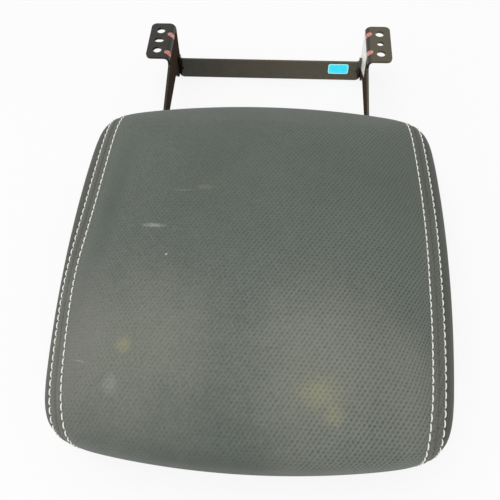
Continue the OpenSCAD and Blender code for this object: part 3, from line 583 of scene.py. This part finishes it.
def swelling():
    """How far each point of the skin stands off its plain form, after inflation."""
    rough = skin[::5, ::4]
    start = rough - normals_of(rough)*SLACK
    m, n = start.shape[:2]
    rim = rim_of(m, n)
    points = start.reshape(-1, 3).tolist() + [[0, CUSHION_Y, HEM_Z + SLACK]]
    faces = grid_faces(m, n) + [[rim[i], rim[i - 1], m*n] for i in range(len(rim))]
    mesh = bpy.data.meshes.new("inflated")
    mesh.from_pydata(points, [], faces)
    work = placed("inflated", mesh)
    remesh = work.modifiers.new("Remesh", "REMESH")
    remesh.mode, remesh.voxel_size = "VOXEL", VOXEL
    graph = bpy.context.evaluated_depsgraph_get()
    work.data = bpy.data.meshes.new_from_object(work.evaluated_get(graph))
    work.modifiers.clear()
    before = np.array([v.co for v in work.data.vertices])
    held = work.vertex_groups.new(name="held")
    seams = np.concatenate([skin[::6, c] for c in SEAMS.values()])
    for i, p in enumerate(before):
        rear = p[1] > CUSHION_Y + HALF_L*0.9 and p[2] < REAR_HEM_Z + 2*SLACK
        to_seam = np.sqrt(((seams - p)**2).sum(1).min())
        share = SEAM_HOLD*math.exp(-(to_seam/HOLD_WIDE)**2)
        held.add([i], 1.0 if rear or p[2] < HEM_Z + 3*SLACK else share, "REPLACE")
    cloth = work.modifiers.new("Cloth", "CLOTH")
    cloth.settings.quality = 5
    cloth.settings.mass = 0.4
    cloth.settings.use_pressure = True
    cloth.settings.uniform_pressure_force = 4
    cloth.settings.tension_stiffness = cloth.settings.compression_stiffness = 25
    cloth.settings.bending_stiffness = 2
    cloth.settings.vertex_group_mass = "held"
    cloth.settings.pin_stiffness = 1
    cloth.settings.effector_weights.gravity = 0
    cloth.point_cache.frame_start, cloth.point_cache.frame_end = 1, FRAMES
    for f in range(1, FRAMES + 1):
        bpy.context.scene.frame_set(f)
    graph = bpy.context.evaluated_depsgraph_get()
    blown = bpy.data.meshes.new_from_object(work.evaluated_get(graph))
    after = np.array([v.co for v in blown.vertices])
    move = after - before
    far = np.linalg.norm(move, axis=1, keepdims=True)
    after = before + move*np.minimum(1, SWELL_CAP/np.maximum(far, 1e-9))
    tree = BVHTree.FromPolygons([Vector(p) for p in after],
                                [tuple(p.vertices) for p in blown.polygons])
    bpy.data.objects.remove(work)
    bpy.context.scene.frame_set(1)
    out = np.zeros(skin.shape[:2])
    normal = normals_of(skin)
    for j in range(skin.shape[0]):
        for i in range(skin.shape[1]):
            start, n = Vector(skin[j, i] + normal[j, i]*PROBE), Vector(normal[j, i])
            hit = tree.ray_cast(start, -n, 2*PROBE)
            out[j, i] = PROBE - hit[3] if hit[0] else -SLACK
    return out


swell = smoothed(swelling(), 40)
# The swelling just outside the seams is the level from which the rest is told.
beside = (SEAMS[-1] - NEAR_SEAM, SEAMS[1] + NEAR_SEAM)
edge = np.median([swell[ROW_COUNT//4:-ROW_COUNT//4, c] for c in beside])
swell = np.clip((swell - edge)*SWELL_SHARE, -SWELL_MOST, SWELL_MOST)
# The seams and the rolled edges are drawn down, so only what lies between them swells.
inwards = np.minimum((0.9*HALF_W - np.abs(skin[..., 0]))/SWELL_EDGE,
                     (0.96*HALF_L - np.abs(skin[..., 1] - CUSHION_Y))/SWELL_EDGE)
inwards = np.clip(inwards, 0, 1)*(skin[..., 2] > 0)
swell = swell*inwards**2*(3 - 2*inwards)
normal = normals_of(skin)
skin = skin + normal*swell[..., None]

# ---------------------------------------------------------------------------
# Seams and topstitching: the side panels are lockstitched to the centre panel,
# their allowances folded apart and topstitched through the laminated foam in
# thick polyester thread, which pulls the cloth down at every needle hole.
ROW_OFFSET, STITCH, STITCH_L, THREAD_R = 7.5*MM, 8.2*MM, 7.6*MM, 0.64*MM
THREAD_RISE, THREAD_SLANT, STEP = 0.75*MM, math.radians(3), 0.5*MM
THREAD_TONES, THREAD_SOIL, PLY = ("#f8f7f2", "#e4e3da"), 14.3*MM, 1.496*MM
SEAM_DEEP, SEAM_WIDE, ROW_DEEP, ROW_WIDE = 1.1*MM, 0.9*MM, 0.7*MM, 1.5*MM
PUFF, PULL = 0.35*MM, 0.35*MM


def spaced(line, step):
    run = lengths(line)
    at = np.linspace(0, run[-1], max(2, round(run[-1]/step)) + 1)
    return np.stack([np.interp(at, run, line[:, i]) for i in range(3)], -1)


def bvh(grid):
    points = [Vector(p) for p in grid.reshape(-1, 3)]
    return BVHTree.FromPolygons(points, grid_faces(*grid.shape[:2]))


def offset_line(surface, line, toward, distance):
    """A line on the surface, beside another one."""
    out = []
    along = np.gradient(line, axis=0)
    for p, d in zip(line, along):
        hit = surface.find_nearest(Vector(p))
        across = Vector(d).cross(hit[1]).normalized()
        if across.x*toward < 0:
            across = -across
        out.append(surface.find_nearest(hit[0] + across*distance)[0])
    return np.array(out)


plain, plain_normal = skin, normal
surface = bvh(skin)
stitch_rows, groove = {}, np.zeros(skin.shape[:2])
seam_off = np.full(skin.shape[:2], 4*ROW_OFFSET)
for side, column in SEAMS.items():
    seam = spaced(skin[:, column], STEP)
    band = slice(column - NEAR_SEAM, column + NEAR_SEAM + 1)
    near_skin = skin[:, band].reshape(-1, 3)
    dip = np.zeros(len(near_skin))
    lines = [("seam", seam)]
    for name, toward in (("inner", -side), ("outer", side)):
        row = spaced(offset_line(surface, seam[::4], toward, ROW_OFFSET), STEP)
        stitch_rows[f"{name}_{'left' if side < 0 else 'right'}"] = row
        lines.append((name, row))
    for name, line in lines:
        away = np.empty(len(near_skin))
        where = np.empty(len(near_skin), int)
        for first in range(0, len(near_skin), 1500):
            part = near_skin[first:first + 1500, None] - line[None]
            d = (part**2).sum(-1)
            where[first:first + 1500] = d.argmin(1)
            away[first:first + 1500] = np.sqrt(d.min(1))
        if name == "seam":
            seam_off[:, band] = away.reshape(skin.shape[0], -1)
            dip += SEAM_DEEP*np.exp(-(away/SEAM_WIDE)**2)
            dip -= PUFF*np.exp(-((away - ROW_OFFSET/2)/(ROW_OFFSET/3.2))**2)
            dip += PULL*np.exp(-(away/(2*ROW_OFFSET))**2)
        else:
            phase = np.cos(2*math.pi*where*STEP/STITCH)
            dip += ROW_DEEP*(0.7 + 0.3*phase)*np.exp(-(away/ROW_WIDE)**2)
    groove[:, band] += dip.reshape(skin.shape[0], -1)
skin = skin - normals_of(skin)*groove[..., None]
normal = normals_of(skin)
surface = bvh(skin)

# The thread is off-white, bright but without shine, and softly twisted. Its plies
# are drawn 1.5 mm apart, coarser than they are, so that they show.
thread_yarn, tree, at, _, tone = two_toned("off_white_polyester_thread", THREAD_TONES,
                                           THREAD_SOIL, 4)
ply = add(tree, "TexWave", {"Vector": at, "Scale": math.pi/5/PLY, "Distortion": 1.5},
          bands_direction="DIAGONAL")
# The thread also glows a little: painted light that brightens it.
add(tree, "OutputMaterial", {"Surface": add(tree, "BsdfPrincipled", {
    "Base Color": tone, "Roughness": 0.55, "IOR": 1.54, "Sheen Weight": 0.2,
    "Emission Color": tone, "Emission Strength": 0.08,
    "Normal": add(tree, "Bump", {"Height": ply, "Strength": 0.5, "Distance": 0.2*MM})})})

for name, row in stitch_rows.items():
    run = lengths(row)
    slant = THREAD_SLANT if name.endswith("right") else -THREAD_SLANT
    stitches = []
    for k in range(int(run[-1]//STITCH)):
        rings = []
        for u in np.sin(np.linspace(-math.pi/2, math.pi/2, 13)):
            here = STITCH*(k + 0.5) + u*STITCH_L/2
            p, q = [np.array([np.interp(place_at, run, row[:, i]) for i in range(3)])
                    for place_at in (here, here + STEP)]
            found = surface.find_nearest(Vector(p))
            n = np.array(found[1])
            d = (q - p)/np.linalg.norm(q - p)
            b = np.cross(n, d)
            b /= np.linalg.norm(b)
            rise = THREAD_RISE*(1 - 2.4*abs(u)**6)
            middle = np.array(found[0]) + n*rise + b*math.tan(slant)*u*STITCH_L/2
            thick = THREAD_R*(1 - 0.35*u**2)
            rings.append([middle + thick*(math.cos(a)*b + math.sin(a)*n)
                          for a in np.linspace(0, 2*math.pi, 12, False)])
        stitches.append(rings)
    piece = loft(f"topstitch_{name}", stitches, thread_yarn)
    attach(piece, "seat")

# ---------------------------------------------------------------------------
# Cover: a centre panel and two side panels of grey woven seat cloth, its small
# hexagons standing in slanting ribs, laminated to 2 mm foam and drawn tight.
COVER_T, SLIT, HEXAGON, MARGIN = 2*MM, 0.15*MM, 4.25*MM, 7.8*MM
# Where each point's cloth lay before sewing: across from the middle, along, and
# how far from the seam.
step = np.linalg.norm(np.diff(plain, axis=1), axis=-1)
across = np.concatenate([np.zeros((len(plain), 1)), np.cumsum(step, 1)], 1)
middle = plain.shape[1]//2
across = across - across[:, middle:middle + 1]
along = lengths(plain[:, middle])[:, None] - (plain[..., 1] - plain[:, middle:middle + 1, 1])
lie = np.stack([across, -along, seam_off], -1)

YARN_LIGHT, YARN_DARK, MARGIN_LIGHT, MARGIN_DARK = "#6d736c", "#394039", "#696c63", "#42453e"
# The side tones are drawn darker than the centre cloth's: painted shade for the side panels, which turn
# away from the light.
SIDE_SHADED_LIGHT, SIDE_SHADED_DARK, WORN, FADED = "#4f5249", "#34372f", "#86877b", "#84807b"
# The last two colours darken patches and are painted shade along the front edge, where the cloth turns
# down.
STAIN, LINT, DARKER_AND_SHADE, FRONT_EDGE_SHADE = "#a09b76", "#bfc1b8", "#444b46", "#454440"
RIB_ANGLE, CROSS_ANGLE, CROSS_SHARE = math.radians(147), math.radians(31), 0.42
# Sizes of the yarn's fuzz, which is drawn coarser than it is so that it shows, of
# the weave's wobble and of the paler patches, and the lint's spacing
FUZZ, WOBBLE, WOBBLE_BY, PATCH, LINT_APART = 2.083*MM, 71.4*MM, 1.2*MM, 90.9*MM, 38.46*MM
RUBBED_FROM, RUBBED_TO, RUBBED_SHARE = -60*MM, 120*MM, 0.44
# Worn, stained and scuffed places, darker patches, and painted shade along the
# front edge where the cloth turns down, in mm and degrees: middle, half lengths,
# turn, share, colour, softness and raggedness.
MARKS = (
    (80, -235, 330, 230, 0, 0.36, DARKER_AND_SHADE, 0.9, 0.6), (-70, -560, 190, 110, 0, 0.5, DARKER_AND_SHADE, 0.8, 0.9),
    (-20, -564, 300, 42, 0, 0.6, FRONT_EDGE_SHADE, 0.6, 0.3), (-146, -290, 20, 140, -4, 0.4, DARKER_AND_SHADE, 0.9, 0.5),
    (-92, -447, 112, 126, 0, 0.55, WORN, 0.8, 0.9), (64, -457, 108, 128, 0, 0.55, WORN, 0.8, 0.9),
    (140, -476, 40, 84, 0, 0.42, WORN, 0.8, 0.9), (-158, -450, 50, 150, 0, 0.4, FADED, 0.9, 0.8),
    (-107, -450, 11, 12, 0, 0.35, STAIN, 0.6, 1.1), (-114, -484, 10, 14, 0, 0.2, LINT, 0.9, 0.9),
    (62, -482, 28, 24, 0, 0.34, STAIN, 0.8, 1.3), (76, -500, 14, 12, 0, 0.3, STAIN, 0.7, 1.2),
    (-98, -324, 17, 4, -4, 0.4, LINT, 0.7, 1.3), (-73, -281, 15, 1.4, -2, 0.16, LINT, 0.7, 0.9),
    (-52, -277, 14, 5, 0, 0.2, STAIN, 0.7, 1.1), (-145, -463, 12, 1.1, -16, 0.25, LINT, 0.7, 0.9))


def seat_cloth(name, light, dark, strong):
    """Woven seat cloth, darker and flatter in the stitched margin along the seam."""
    made, tree = material(name)
    object_at = add(tree, "TexCoord").outputs["Object"]
    at = add(tree, "Attribute", attribute_name="cloth").outputs["Vector"]
    apart = add(tree, "SeparateXYZ", {0: at})
    wobble = add(tree, "TexNoise", {"Vector": at, "Scale": 1/WOBBLE, "Detail": 2}).outputs["Color"]
    at = add(tree, "VectorMath", {0: wobble, 1: (WOBBLE_BY, WOBBLE_BY, 0), 2: at},
             operation="MULTIPLY_ADD").outputs[0]
    # Three waves whose normals sum to nothing make the hexagons. The first is the rib.
    rib = Vector((math.cos(RIB_ANGLE), math.sin(RIB_ANGLE), 0))
    cross = Vector((math.cos(CROSS_ANGLE), math.sin(CROSS_ANGLE), 0))
    turn = 2*math.pi/(HEXAGON*math.sin(math.radians(60)))
    waves = []
    for way in (rib, cross, -rib - cross):
        phase = add(tree, "VectorMath", {0: at, 1: tuple(turn*way)}, operation="DOT_PRODUCT")
        waves.append(add(tree, "Math", {0: phase.outputs["Value"]}, operation="COSINE"))
    total = add(tree, "Math", {0: waves[1], 1: waves[2]}, operation="ADD")
    total = add(tree, "Math", {0: total, 1: CROSS_SHARE, 2: waves[0]}, operation="MULTIPLY_ADD")
    hole = add(tree, "MapRange", {0: total, 1: -1.1, 2: 1.9, 3: 0, 4: 1},
               interpolation_type="SMOOTHSTEP")
    # The pile is rubbed flat towards the left, where the weave shows less.
    clear = add(tree, "MapRange", {0: apart.outputs[0], 1: RUBBED_FROM, 2: RUBBED_TO,
                                   3: RUBBED_SHARE*strong, 4: strong}, interpolation_type="SMOOTHSTEP")
    yarn = add(tree, "TexNoise", {"Vector": at, "Scale": 1/FUZZ, "Detail": 5, "Roughness": 0.75})
    fuzz = add(tree, "MapRange", {0: yarn, 1: 0.3, 2: 0.7, 3: 0.02, 4: 0.68})
    share = add(tree, "Math", {0: hole, 1: 0.42}, operation="SUBTRACT")
    share = add(tree, "Math", {0: share, 1: clear, 2: fuzz}, operation="MULTIPLY_ADD", use_clamp=True)
    tone = add(tree, "Mix", {0: share, 6: colour(light), 7: colour(dark)}, data_type="RGBA").outputs[2]
    pressed = add(tree, "Mix", {0: share, 6: colour(MARGIN_LIGHT), 7: colour(MARGIN_DARK)},
                  data_type="RGBA").outputs[2]
    margin = add(tree, "MapRange", {0: apart.outputs[2], 1: MARGIN - 0.4*MM, 2: MARGIN + 0.6*MM,
                                    3: 1, 4: 0})
    tone = add(tree, "Mix", {0: margin, 6: tone, 7: pressed}, data_type="RGBA").outputs[2]
    patch = add(tree, "TexNoise", {"Vector": at, "Scale": 1/PATCH, "Detail": 5, "Roughness": 0.6})
    fade = add(tree, "MapRange", {0: patch, 1: 0.33, 2: 0.67, 3: 0.93, 4: 1.07})
    tone = add(tree, "VectorMath", {0: tone, "Scale": fade}, operation="SCALE").outputs[0]
    # Wear: thigh marks, stains and scuffs where the pile is rubbed pale, darker patches, painted shade
    # along the front edge, then lint.
    on_top = add(tree, "MapRange", {0: share, 1: 0, 2: 1, 3: 1.1, 4: 0.35})
    for *ellipse, degrees, most, code, soft, ragged in MARKS:
        x, y, half_x, half_y = (size*MM for size in ellipse)
        spot = add(tree, "Mapping", {"Vector": object_at, "Location": (x, y, 0),
                                     "Rotation": (0, 0, math.radians(degrees)),
                                     "Scale": (half_x, half_y, 10)}, vector_type="TEXTURE")
        far = add(tree, "VectorMath", {0: spot}, operation="LENGTH").outputs["Value"]
        edge = add(tree, "TexNoise", {"Vector": object_at, "Scale": 2.2/max(half_x, half_y),
                                      "Detail": 8, "Roughness": 0.72})
        far = add(tree, "Math", {0: edge, 1: ragged, 2: far}, operation="MULTIPLY_ADD")
        most_at = 1 + 0.4*ragged
        mark = add(tree, "MapRange", {0: far, 1: most_at - soft, 2: most_at, 3: most, 4: 0},
                   interpolation_type="SMOOTHSTEP")
        mark = add(tree, "Math", {0: mark, 1: on_top}, operation="MULTIPLY")
        tone = add(tree, "Mix", {0: mark, 6: tone, 7: colour(code)}, data_type="RGBA").outputs[2]
    cell = add(tree, "TexVoronoi", {"Vector": at, "Scale": 1/LINT_APART, "Randomness": 1})
    rare = add(tree, "SeparateColor", {0: cell.outputs["Color"]})
    rare = add(tree, "Math", {0: rare, 1: 0.75}, operation="GREATER_THAN")
    speck = add(tree, "MapRange", {0: cell.outputs["Distance"], 1: 0.015, 2: 0.04, 3: 0.8, 4: 0})
    speck = add(tree, "Math", {0: speck, 1: rare}, operation="MULTIPLY")
    tone = add(tree, "Mix", {0: speck, 6: tone, 7: colour(LINT)}, data_type="RGBA").outputs[2]
    height = add(tree, "Math", {0: share, 1: -1.0}, operation="MULTIPLY")
    bump = add(tree, "Bump", {"Height": height, "Strength": 0.5, "Distance": 0.45*MM})
    add(tree, "OutputMaterial", {"Surface": add(tree, "BsdfPrincipled", {
        "Base Color": tone, "Roughness": 0.88, "IOR": 1.46, "Normal": bump,
        "Sheen Weight": 0.08, "Sheen Roughness": 0.5})})
    return made


def panel(name, made, columns, node):
    """A closed sheet of cloth over some of the skin's columns."""
    outer = skin[:, columns].copy()
    for end, step in ((0, 1), (-1, -2)):
        if columns.start + (end % outer.shape[1]) in SEAMS.values():
            toward = outer[:, step] - outer[:, end]
            outer[:, end] += SLIT*toward/np.linalg.norm(toward, axis=-1, keepdims=True)
    inner = plain[:, columns] - plain_normal[:, columns]*COVER_T
    m, k = outer.shape[:2]
    rim = rim_of(m, k)
    faces = grid_faces(m, k) + [f[::-1] for f in grid_faces(m, k, m*k)]
    faces += [[rim[i - 1], rim[i], m*k + rim[i], m*k + rim[i - 1]] for i in range(len(rim))]
    mesh = bpy.data.meshes.new(name)
    mesh.from_pydata(np.concatenate([outer, inner]).reshape(-1, 3).tolist(), [], faces)
    mesh.attributes.new("cloth", "FLOAT_VECTOR", "POINT").data.foreach_set(
        "vector", np.tile(lie[:, columns], (2, 1, 1, 1)).reshape(-1).astype(np.float32))
    piece = finished(name, mesh, made)
    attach(piece, "seat")
    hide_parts(node)
    return piece


centre_cloth = seat_cloth("ribbed_hexagon_seat_cloth", YARN_LIGHT, YARN_DARK, 0.66)
# The side panels take darker tones: painted shade where they turn away from the light.
shaded_side_cloth = seat_cloth("side_seat_cloth_painted_shade", SIDE_SHADED_LIGHT, SIDE_SHADED_DARK, 0.55)
between, left_of = slice(SEAMS[-1], SEAMS[1] + 1), slice(0, SEAMS[-1] + 1)
right_of = slice(SEAMS[1], skin.shape[1])
cover_centre = panel("cover_centre_panel", centre_cloth, between, "cover_centre")
cover_left = panel("cover_left_panel", shaded_side_cloth, left_of, "cover_side_left")
cover_right = panel("cover_right_panel", shaded_side_cloth, right_of, "cover_side_right")

# The hem is turned under and bound with woven tape, which leaves a round, dull,
# finely ribbed edge.
HEM_R, HEM_STEP, TAPE_TONES, TAPE_WEFT = 1.5*MM, 3*MM, ("#4d5048", "#2e302b"), 1.11*MM
tape, tree, at, weft, tone = two_toned("woven_polyester_binding_tape", TAPE_TONES, TAPE_WEFT, 3)
add(tree, "OutputMaterial", {"Surface": add(tree, "BsdfPrincipled", {
    "Base Color": tone, "Roughness": 0.8, "IOR": 1.5, "Sheen Weight": 0.1,
    "Normal": add(tree, "Bump", {"Height": weft, "Strength": 0.4, "Distance": 0.2*MM})})})
m, k = skin.shape[:2]
flat = skin.reshape(-1, 3)
hem = spaced(flat[rim_of(m, k) + [0]], HEM_STEP)[:-1]
middle = np.array([0, CUSHION_Y, 0])
binding = []
for p in hem:
    out = (p - middle)*[1, 1, 0]
    out /= np.linalg.norm(out)
    inset = p - out*HEM_R
    binding.append([inset + HEM_R*(math.cos(a)*out + math.sin(a)*np.array([0, 0, 1]))
                    for a in np.linspace(0, 2*math.pi, 10, False)])
binding = loft("hem_binding", [binding + binding[:1]], tape, capped=False)
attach(binding, "seat")

# The foam itself, 2.3 mm under the skin, with its foot round the pan.
FOAM_DEPTH, PAN_INSET, PAN_SIDE_GAP, FOAM_SEAT = 2.3*MM, 25.9*MM, 1*MM, -29.7*MM
FOAM_TONES, FOAM_AGE, FOAM_CELL = ("#d3bc78", "#b8a05c"), 50*MM, 1.43*MM


def plan_point(p, inset):
    """The point of the drawn-in outline that faces a point of the surface."""
    y0 = (p[..., 1] - CUSHION_Y)/HALF_L
    bow = np.where(y0 > 0, REAR_BOW, FRONT_BOW)
    x = p[..., 0]/(HALF_W + TAPER*y0 - SIDE_BOW*y0**2)
    y = y0/(1 - bow*x*x/HALF_L)
    r = (np.abs(x)**PLAN_POWER + np.abs(y)**PLAN_POWER)**(1/PLAN_POWER)
    return place(np.stack([x/r, y/r, np.zeros_like(x)], -1), inset)


foam, tree, at, _, tone = two_toned("moulded_polyurethane_foam", FOAM_TONES, FOAM_AGE, 4)
cells = add(tree, "TexVoronoi", {"Vector": at, "Scale": 1/FOAM_CELL})
add(tree, "OutputMaterial", {"Surface": add(tree, "BsdfPrincipled", {
    "Base Color": tone, "Roughness": 0.9, "IOR": 1.45,
    "Normal": add(tree, "Bump", {"Height": cells, "Strength": 0.5, "Distance": 0.5*MM})})})

top = (plain - plain_normal*FOAM_DEPTH)[::2, ::2]
m, k = top.shape[:2]
rim = rim_of(m, k)
edge = top.reshape(-1, 3)[rim]
foot = plan_point(edge, PAN_INSET + PAN_SIDE_GAP)
count = len(rim)
under = [(q[0], q[1], p[2]) for p, q in zip(edge, foot)] + [(q[0], q[1], FOAM_SEAT) for q in foot]
points = top.reshape(-1, 3).tolist() + under + [(0, CUSHION_Y, FOAM_SEAT)]
loops = [rim, list(range(m*k, m*k + count)), list(range(m*k + count, m*k + 2*count))]
faces = grid_faces(m, k)
for a, b in zip(loops, loops[1:]):
    faces += [[a[i - 1], a[i], b[i], b[i - 1]] for i in range(count)]
faces += [[loops[2][i - 1], loops[2][i], len(points) - 1] for i in range(count)]
mesh = bpy.data.meshes.new("foam_block")
mesh.from_pydata(points, [], faces)
foam_block = finished("foam_block", mesh, foam)
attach(foam_block, "seat")
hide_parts("foam_pad")

# ---------------------------------------------------------------------------
# Hem skirt: a strip of black needle felt sewn to the hem and drawn in flat to
# the pan, where the strip holds it. Its face is matt and fibrous.
SKIRT_T, SKIRT_GAP, SKIRT_TUCK, SKIRT_SAG = 1.2*MM, 0.3*MM, 0.4*MM, 0.35*MM
FELT_TONES, FELT_FIBRE = ("#2a2a28", "#3d3d3a"), 1.667*MM
felt, tree, at, fibre, tone = two_toned("black_needle_felt", FELT_TONES, FELT_FIBRE, 6,
                                        Distortion=1.5)
add(tree, "OutputMaterial", {"Surface": add(tree, "BsdfPrincipled", {
    "Base Color": tone, "Roughness": 0.95, "Sheen Weight": 0.3, "IOR": 1.45,
    "Normal": add(tree, "Bump", {"Height": fibre, "Strength": 0.4, "Distance": 0.3*MM})})})
inside = plan_point(hem, PAN_INSET + PAN_SIDE_GAP)
sections = []
for i, (p, q) in enumerate(zip(hem, inside)):
    ring = []
    out = (p - q)*[1, 1, 0]
    p = p - out/np.linalg.norm(out)*SKIRT_TUCK
    for share in (0, 0.25, 0.5, 0.75, 1):
        sag = SKIRT_SAG*math.sin(math.pi*share)*(1 + math.sin(i*0.7))
        ring.append([p[0] + (q[0] - p[0])*share, p[1] + (q[1] - p[1])*share,
                     p[2] - SKIRT_GAP - sag])
    ring += [[x, y, z - SKIRT_T] for x, y, z in ring[::-1]]
    sections.append(ring)
skirt = loft("felt_skirt", [sections + sections[:1]], felt, capped=False)
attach(skirt, "seat")
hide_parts("hem_skirt")

# ---------------------------------------------------------------------------
# Base screws: pan head tapping screws with a cross recess, black zinc plated,
# which leaves a dark and uneven half shine.
SCREW_HEAD_R, SCREW_HEAD_H, SCREW_R, SCREW_LIFT = 4.5*MM, 2*MM, 1.9*MM, 0.3*MM
BASE_INSET, SCREW_L, SCREW_Z, SCREW_SHARE = 20*MM, 11.6*MM, -64.15*MM, 0.45
RECESS_ARM, RECESS_HALF, RECESS_DEEP, POINT_R = 2.3*MM, 0.55*MM, 1.2*MM, 0.3*MM
SCREW_TONES, SCREW_BLOOM, NUDGE = ("#1b1b1c", "#343436"), 3.33*MM, 1e-5
plated, tree, *_, tone = two_toned("black_zinc_plated_steel", SCREW_TONES, SCREW_BLOOM, 4)
add(tree, "OutputMaterial", {"Surface": add(tree, "BsdfPrincipled", {
    "Base Color": tone, "Metallic": 0.8, "Roughness": 0.42})})


def dome(radius):
    """The head's rounded face at a radius, with the recess cut into it."""
    ring = []
    for a in np.linspace(0, 2*math.pi, 64, False):
        x, y = radius*math.cos(a), radius*math.sin(a)
        z = SCREW_LIFT + SCREW_HEAD_H*(1 - 0.75*(radius/SCREW_HEAD_R)**3)
        if min(abs(x), abs(y)) < RECESS_HALF and radius < RECESS_ARM:
            z -= RECESS_DEEP*(1 - 0.5*radius/RECESS_ARM)
        ring.append((x, y, z))
    return ring


screws = []
for side in (-1, 1):
    for share, step in (((1, SCREW_SHARE), (0, NUDGE)), ((1, -SCREW_SHARE), (0, NUDGE)),
                        ((1/3, 1), (-NUDGE, 0)), ((1/3, -1), (NUDGE, 0))):
        a = place(np.array([share[0], share[1], 0.0]), BASE_INSET)
        b = place(np.array([share[0] + step[0], share[1] + step[1], 0.0]), BASE_INSET)
        out = np.array([b[1] - a[1], a[0] - b[0], 0])*[side, 1, 1]
        rings = [circle(POINT_R, -SCREW_L, 64), circle(SCREW_R, -SCREW_L + 2*MM, 64),
                 circle(SCREW_R, SCREW_LIFT, 64), circle(SCREW_HEAD_R, SCREW_LIFT, 64)]
        rings += [dome(r) for r in np.linspace(SCREW_HEAD_R, 0.05*MM, 20)]
        screws.append(turned(rings, a*[side, 1, 0] + [0, 0, SCREW_Z], out))
piece = loft("base_screws_pan_head", screws, plated)
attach(piece, "seat")
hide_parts("base_screws")

# ---------------------------------------------------------------------------
# Studio: a white sweep under the seat, soft lights above it, and the camera
# that looks down on the seat from its front edge.
FLOOR_Z, SWEEP, PAPER, PAPER_WHITE = -72.3*MM, 6.0, "#f6f6f6", 0.85
ROOM_LEFT, ROOM_RIGHT, ROOM_REACH = 0.9, 0.48, 0.9
mesh = bpy.data.meshes.new("studio_floor")
corners = [(x*SWEEP, y*SWEEP, FLOOR_Z) for x, y in ((-1, -1), (1, -1), (1, 1), (-1, 1))]
mesh.from_pydata(corners, [], [(0, 1, 2, 3)])
floor = placed("studio_floor", mesh)
made, tree = material("white_studio_paper")
ray = add(tree, "LightPath")
seen = add(tree, "Math", {0: ray.outputs["Is Camera Ray"], 1: ray.outputs["Is Glossy Ray"]},
           operation="MAXIMUM")
paper = add(tree, "BsdfDiffuse", {"Color": colour(PAPER)})
white = add(tree, "Emission", {"Color": (1, 1, 1, 1), "Strength": 1})
share = add(tree, "Math", {0: seen, 1: PAPER_WHITE}, operation="MULTIPLY")
add(tree, "OutputMaterial", {"Surface": add(tree, "MixShader", {0: share, 1: paper, 2: white})})
mesh.materials.append(made)

world = bpy.data.worlds.new("studio")
bpy.context.scene.world = world
world.use_nodes = True
tree = world.node_tree
tree.nodes.clear()
ray = add(tree, "LightPath")
seen = add(tree, "Math", {0: ray.outputs["Is Camera Ray"], 1: ray.outputs["Is Glossy Ray"]},
           operation="MAXIMUM")
# The room is lighter on the left, so the cushion's right side lies in half shade.
side = add(tree, "SeparateXYZ", {0: add(tree, "TexCoord").outputs["Generated"]})
soft = add(tree, "MapRange", {0: side.outputs[0], 1: -ROOM_REACH, 2: ROOM_REACH,
                              3: ROOM_LEFT, 4: ROOM_RIGHT})
dim = add(tree, "Background", {"Color": (1, 1, 1, 1), "Strength": soft})
white = add(tree, "Background", {"Color": (1, 1, 1, 1), "Strength": 1})
add(tree, "OutputWorld", {"Surface": add(tree, "MixShader", {0: seen, 1: dim, 2: white})})

for name, place_at, aim, size, watts in (
        ("key", (-0.5, -0.3, 1.65), (0, -0.25, 0), 1.3, 5),
        ("front_fill", (0.1, -1.3, 1.3), (0, 0, 0), 0.9, 6)):
    light = bpy.data.lights.new(name, "AREA")
    light.shape, light.size, light.energy = "DISK", size, watts
    lamp = placed(name, light)
    lamp.location = place_at
    lamp.rotation_euler = (Vector(aim) - Vector(place_at)).to_track_quat("-Z", "Y").to_euler()

LENS, PITCH, YAW, ROLL = 47.87, math.radians(55.44), math.radians(6.55), math.radians(-3.27)
STAND, SHIFT = (28.22*MM, -694.6*MM, 559.41*MM), (0.0198, -0.0178)
ahead = Vector((0, math.cos(PITCH), -math.sin(PITCH)))
up = Vector((0, math.sin(PITCH), math.cos(PITCH)))
turn = Matrix.Rotation(YAW, 3, "Z")
ahead, up, right = turn @ ahead, turn @ up, turn @ Vector((1, 0, 0))
right, up = math.cos(ROLL)*right + math.sin(ROLL)*up, math.cos(ROLL)*up - math.sin(ROLL)*right
lens = bpy.data.cameras.new("camera")
lens.lens, lens.sensor_width, lens.clip_start = LENS, 36, 0.01
lens.shift_x, lens.shift_y = SHIFT
camera = placed("camera", lens)
facing = Matrix((right, up, -ahead)).transposed().to_4x4()
camera.matrix_world = Matrix.Translation(STAND) @ facing
bpy.context.scene.camera = camera
bpy.context.scene.view_settings.view_transform = "Standard"
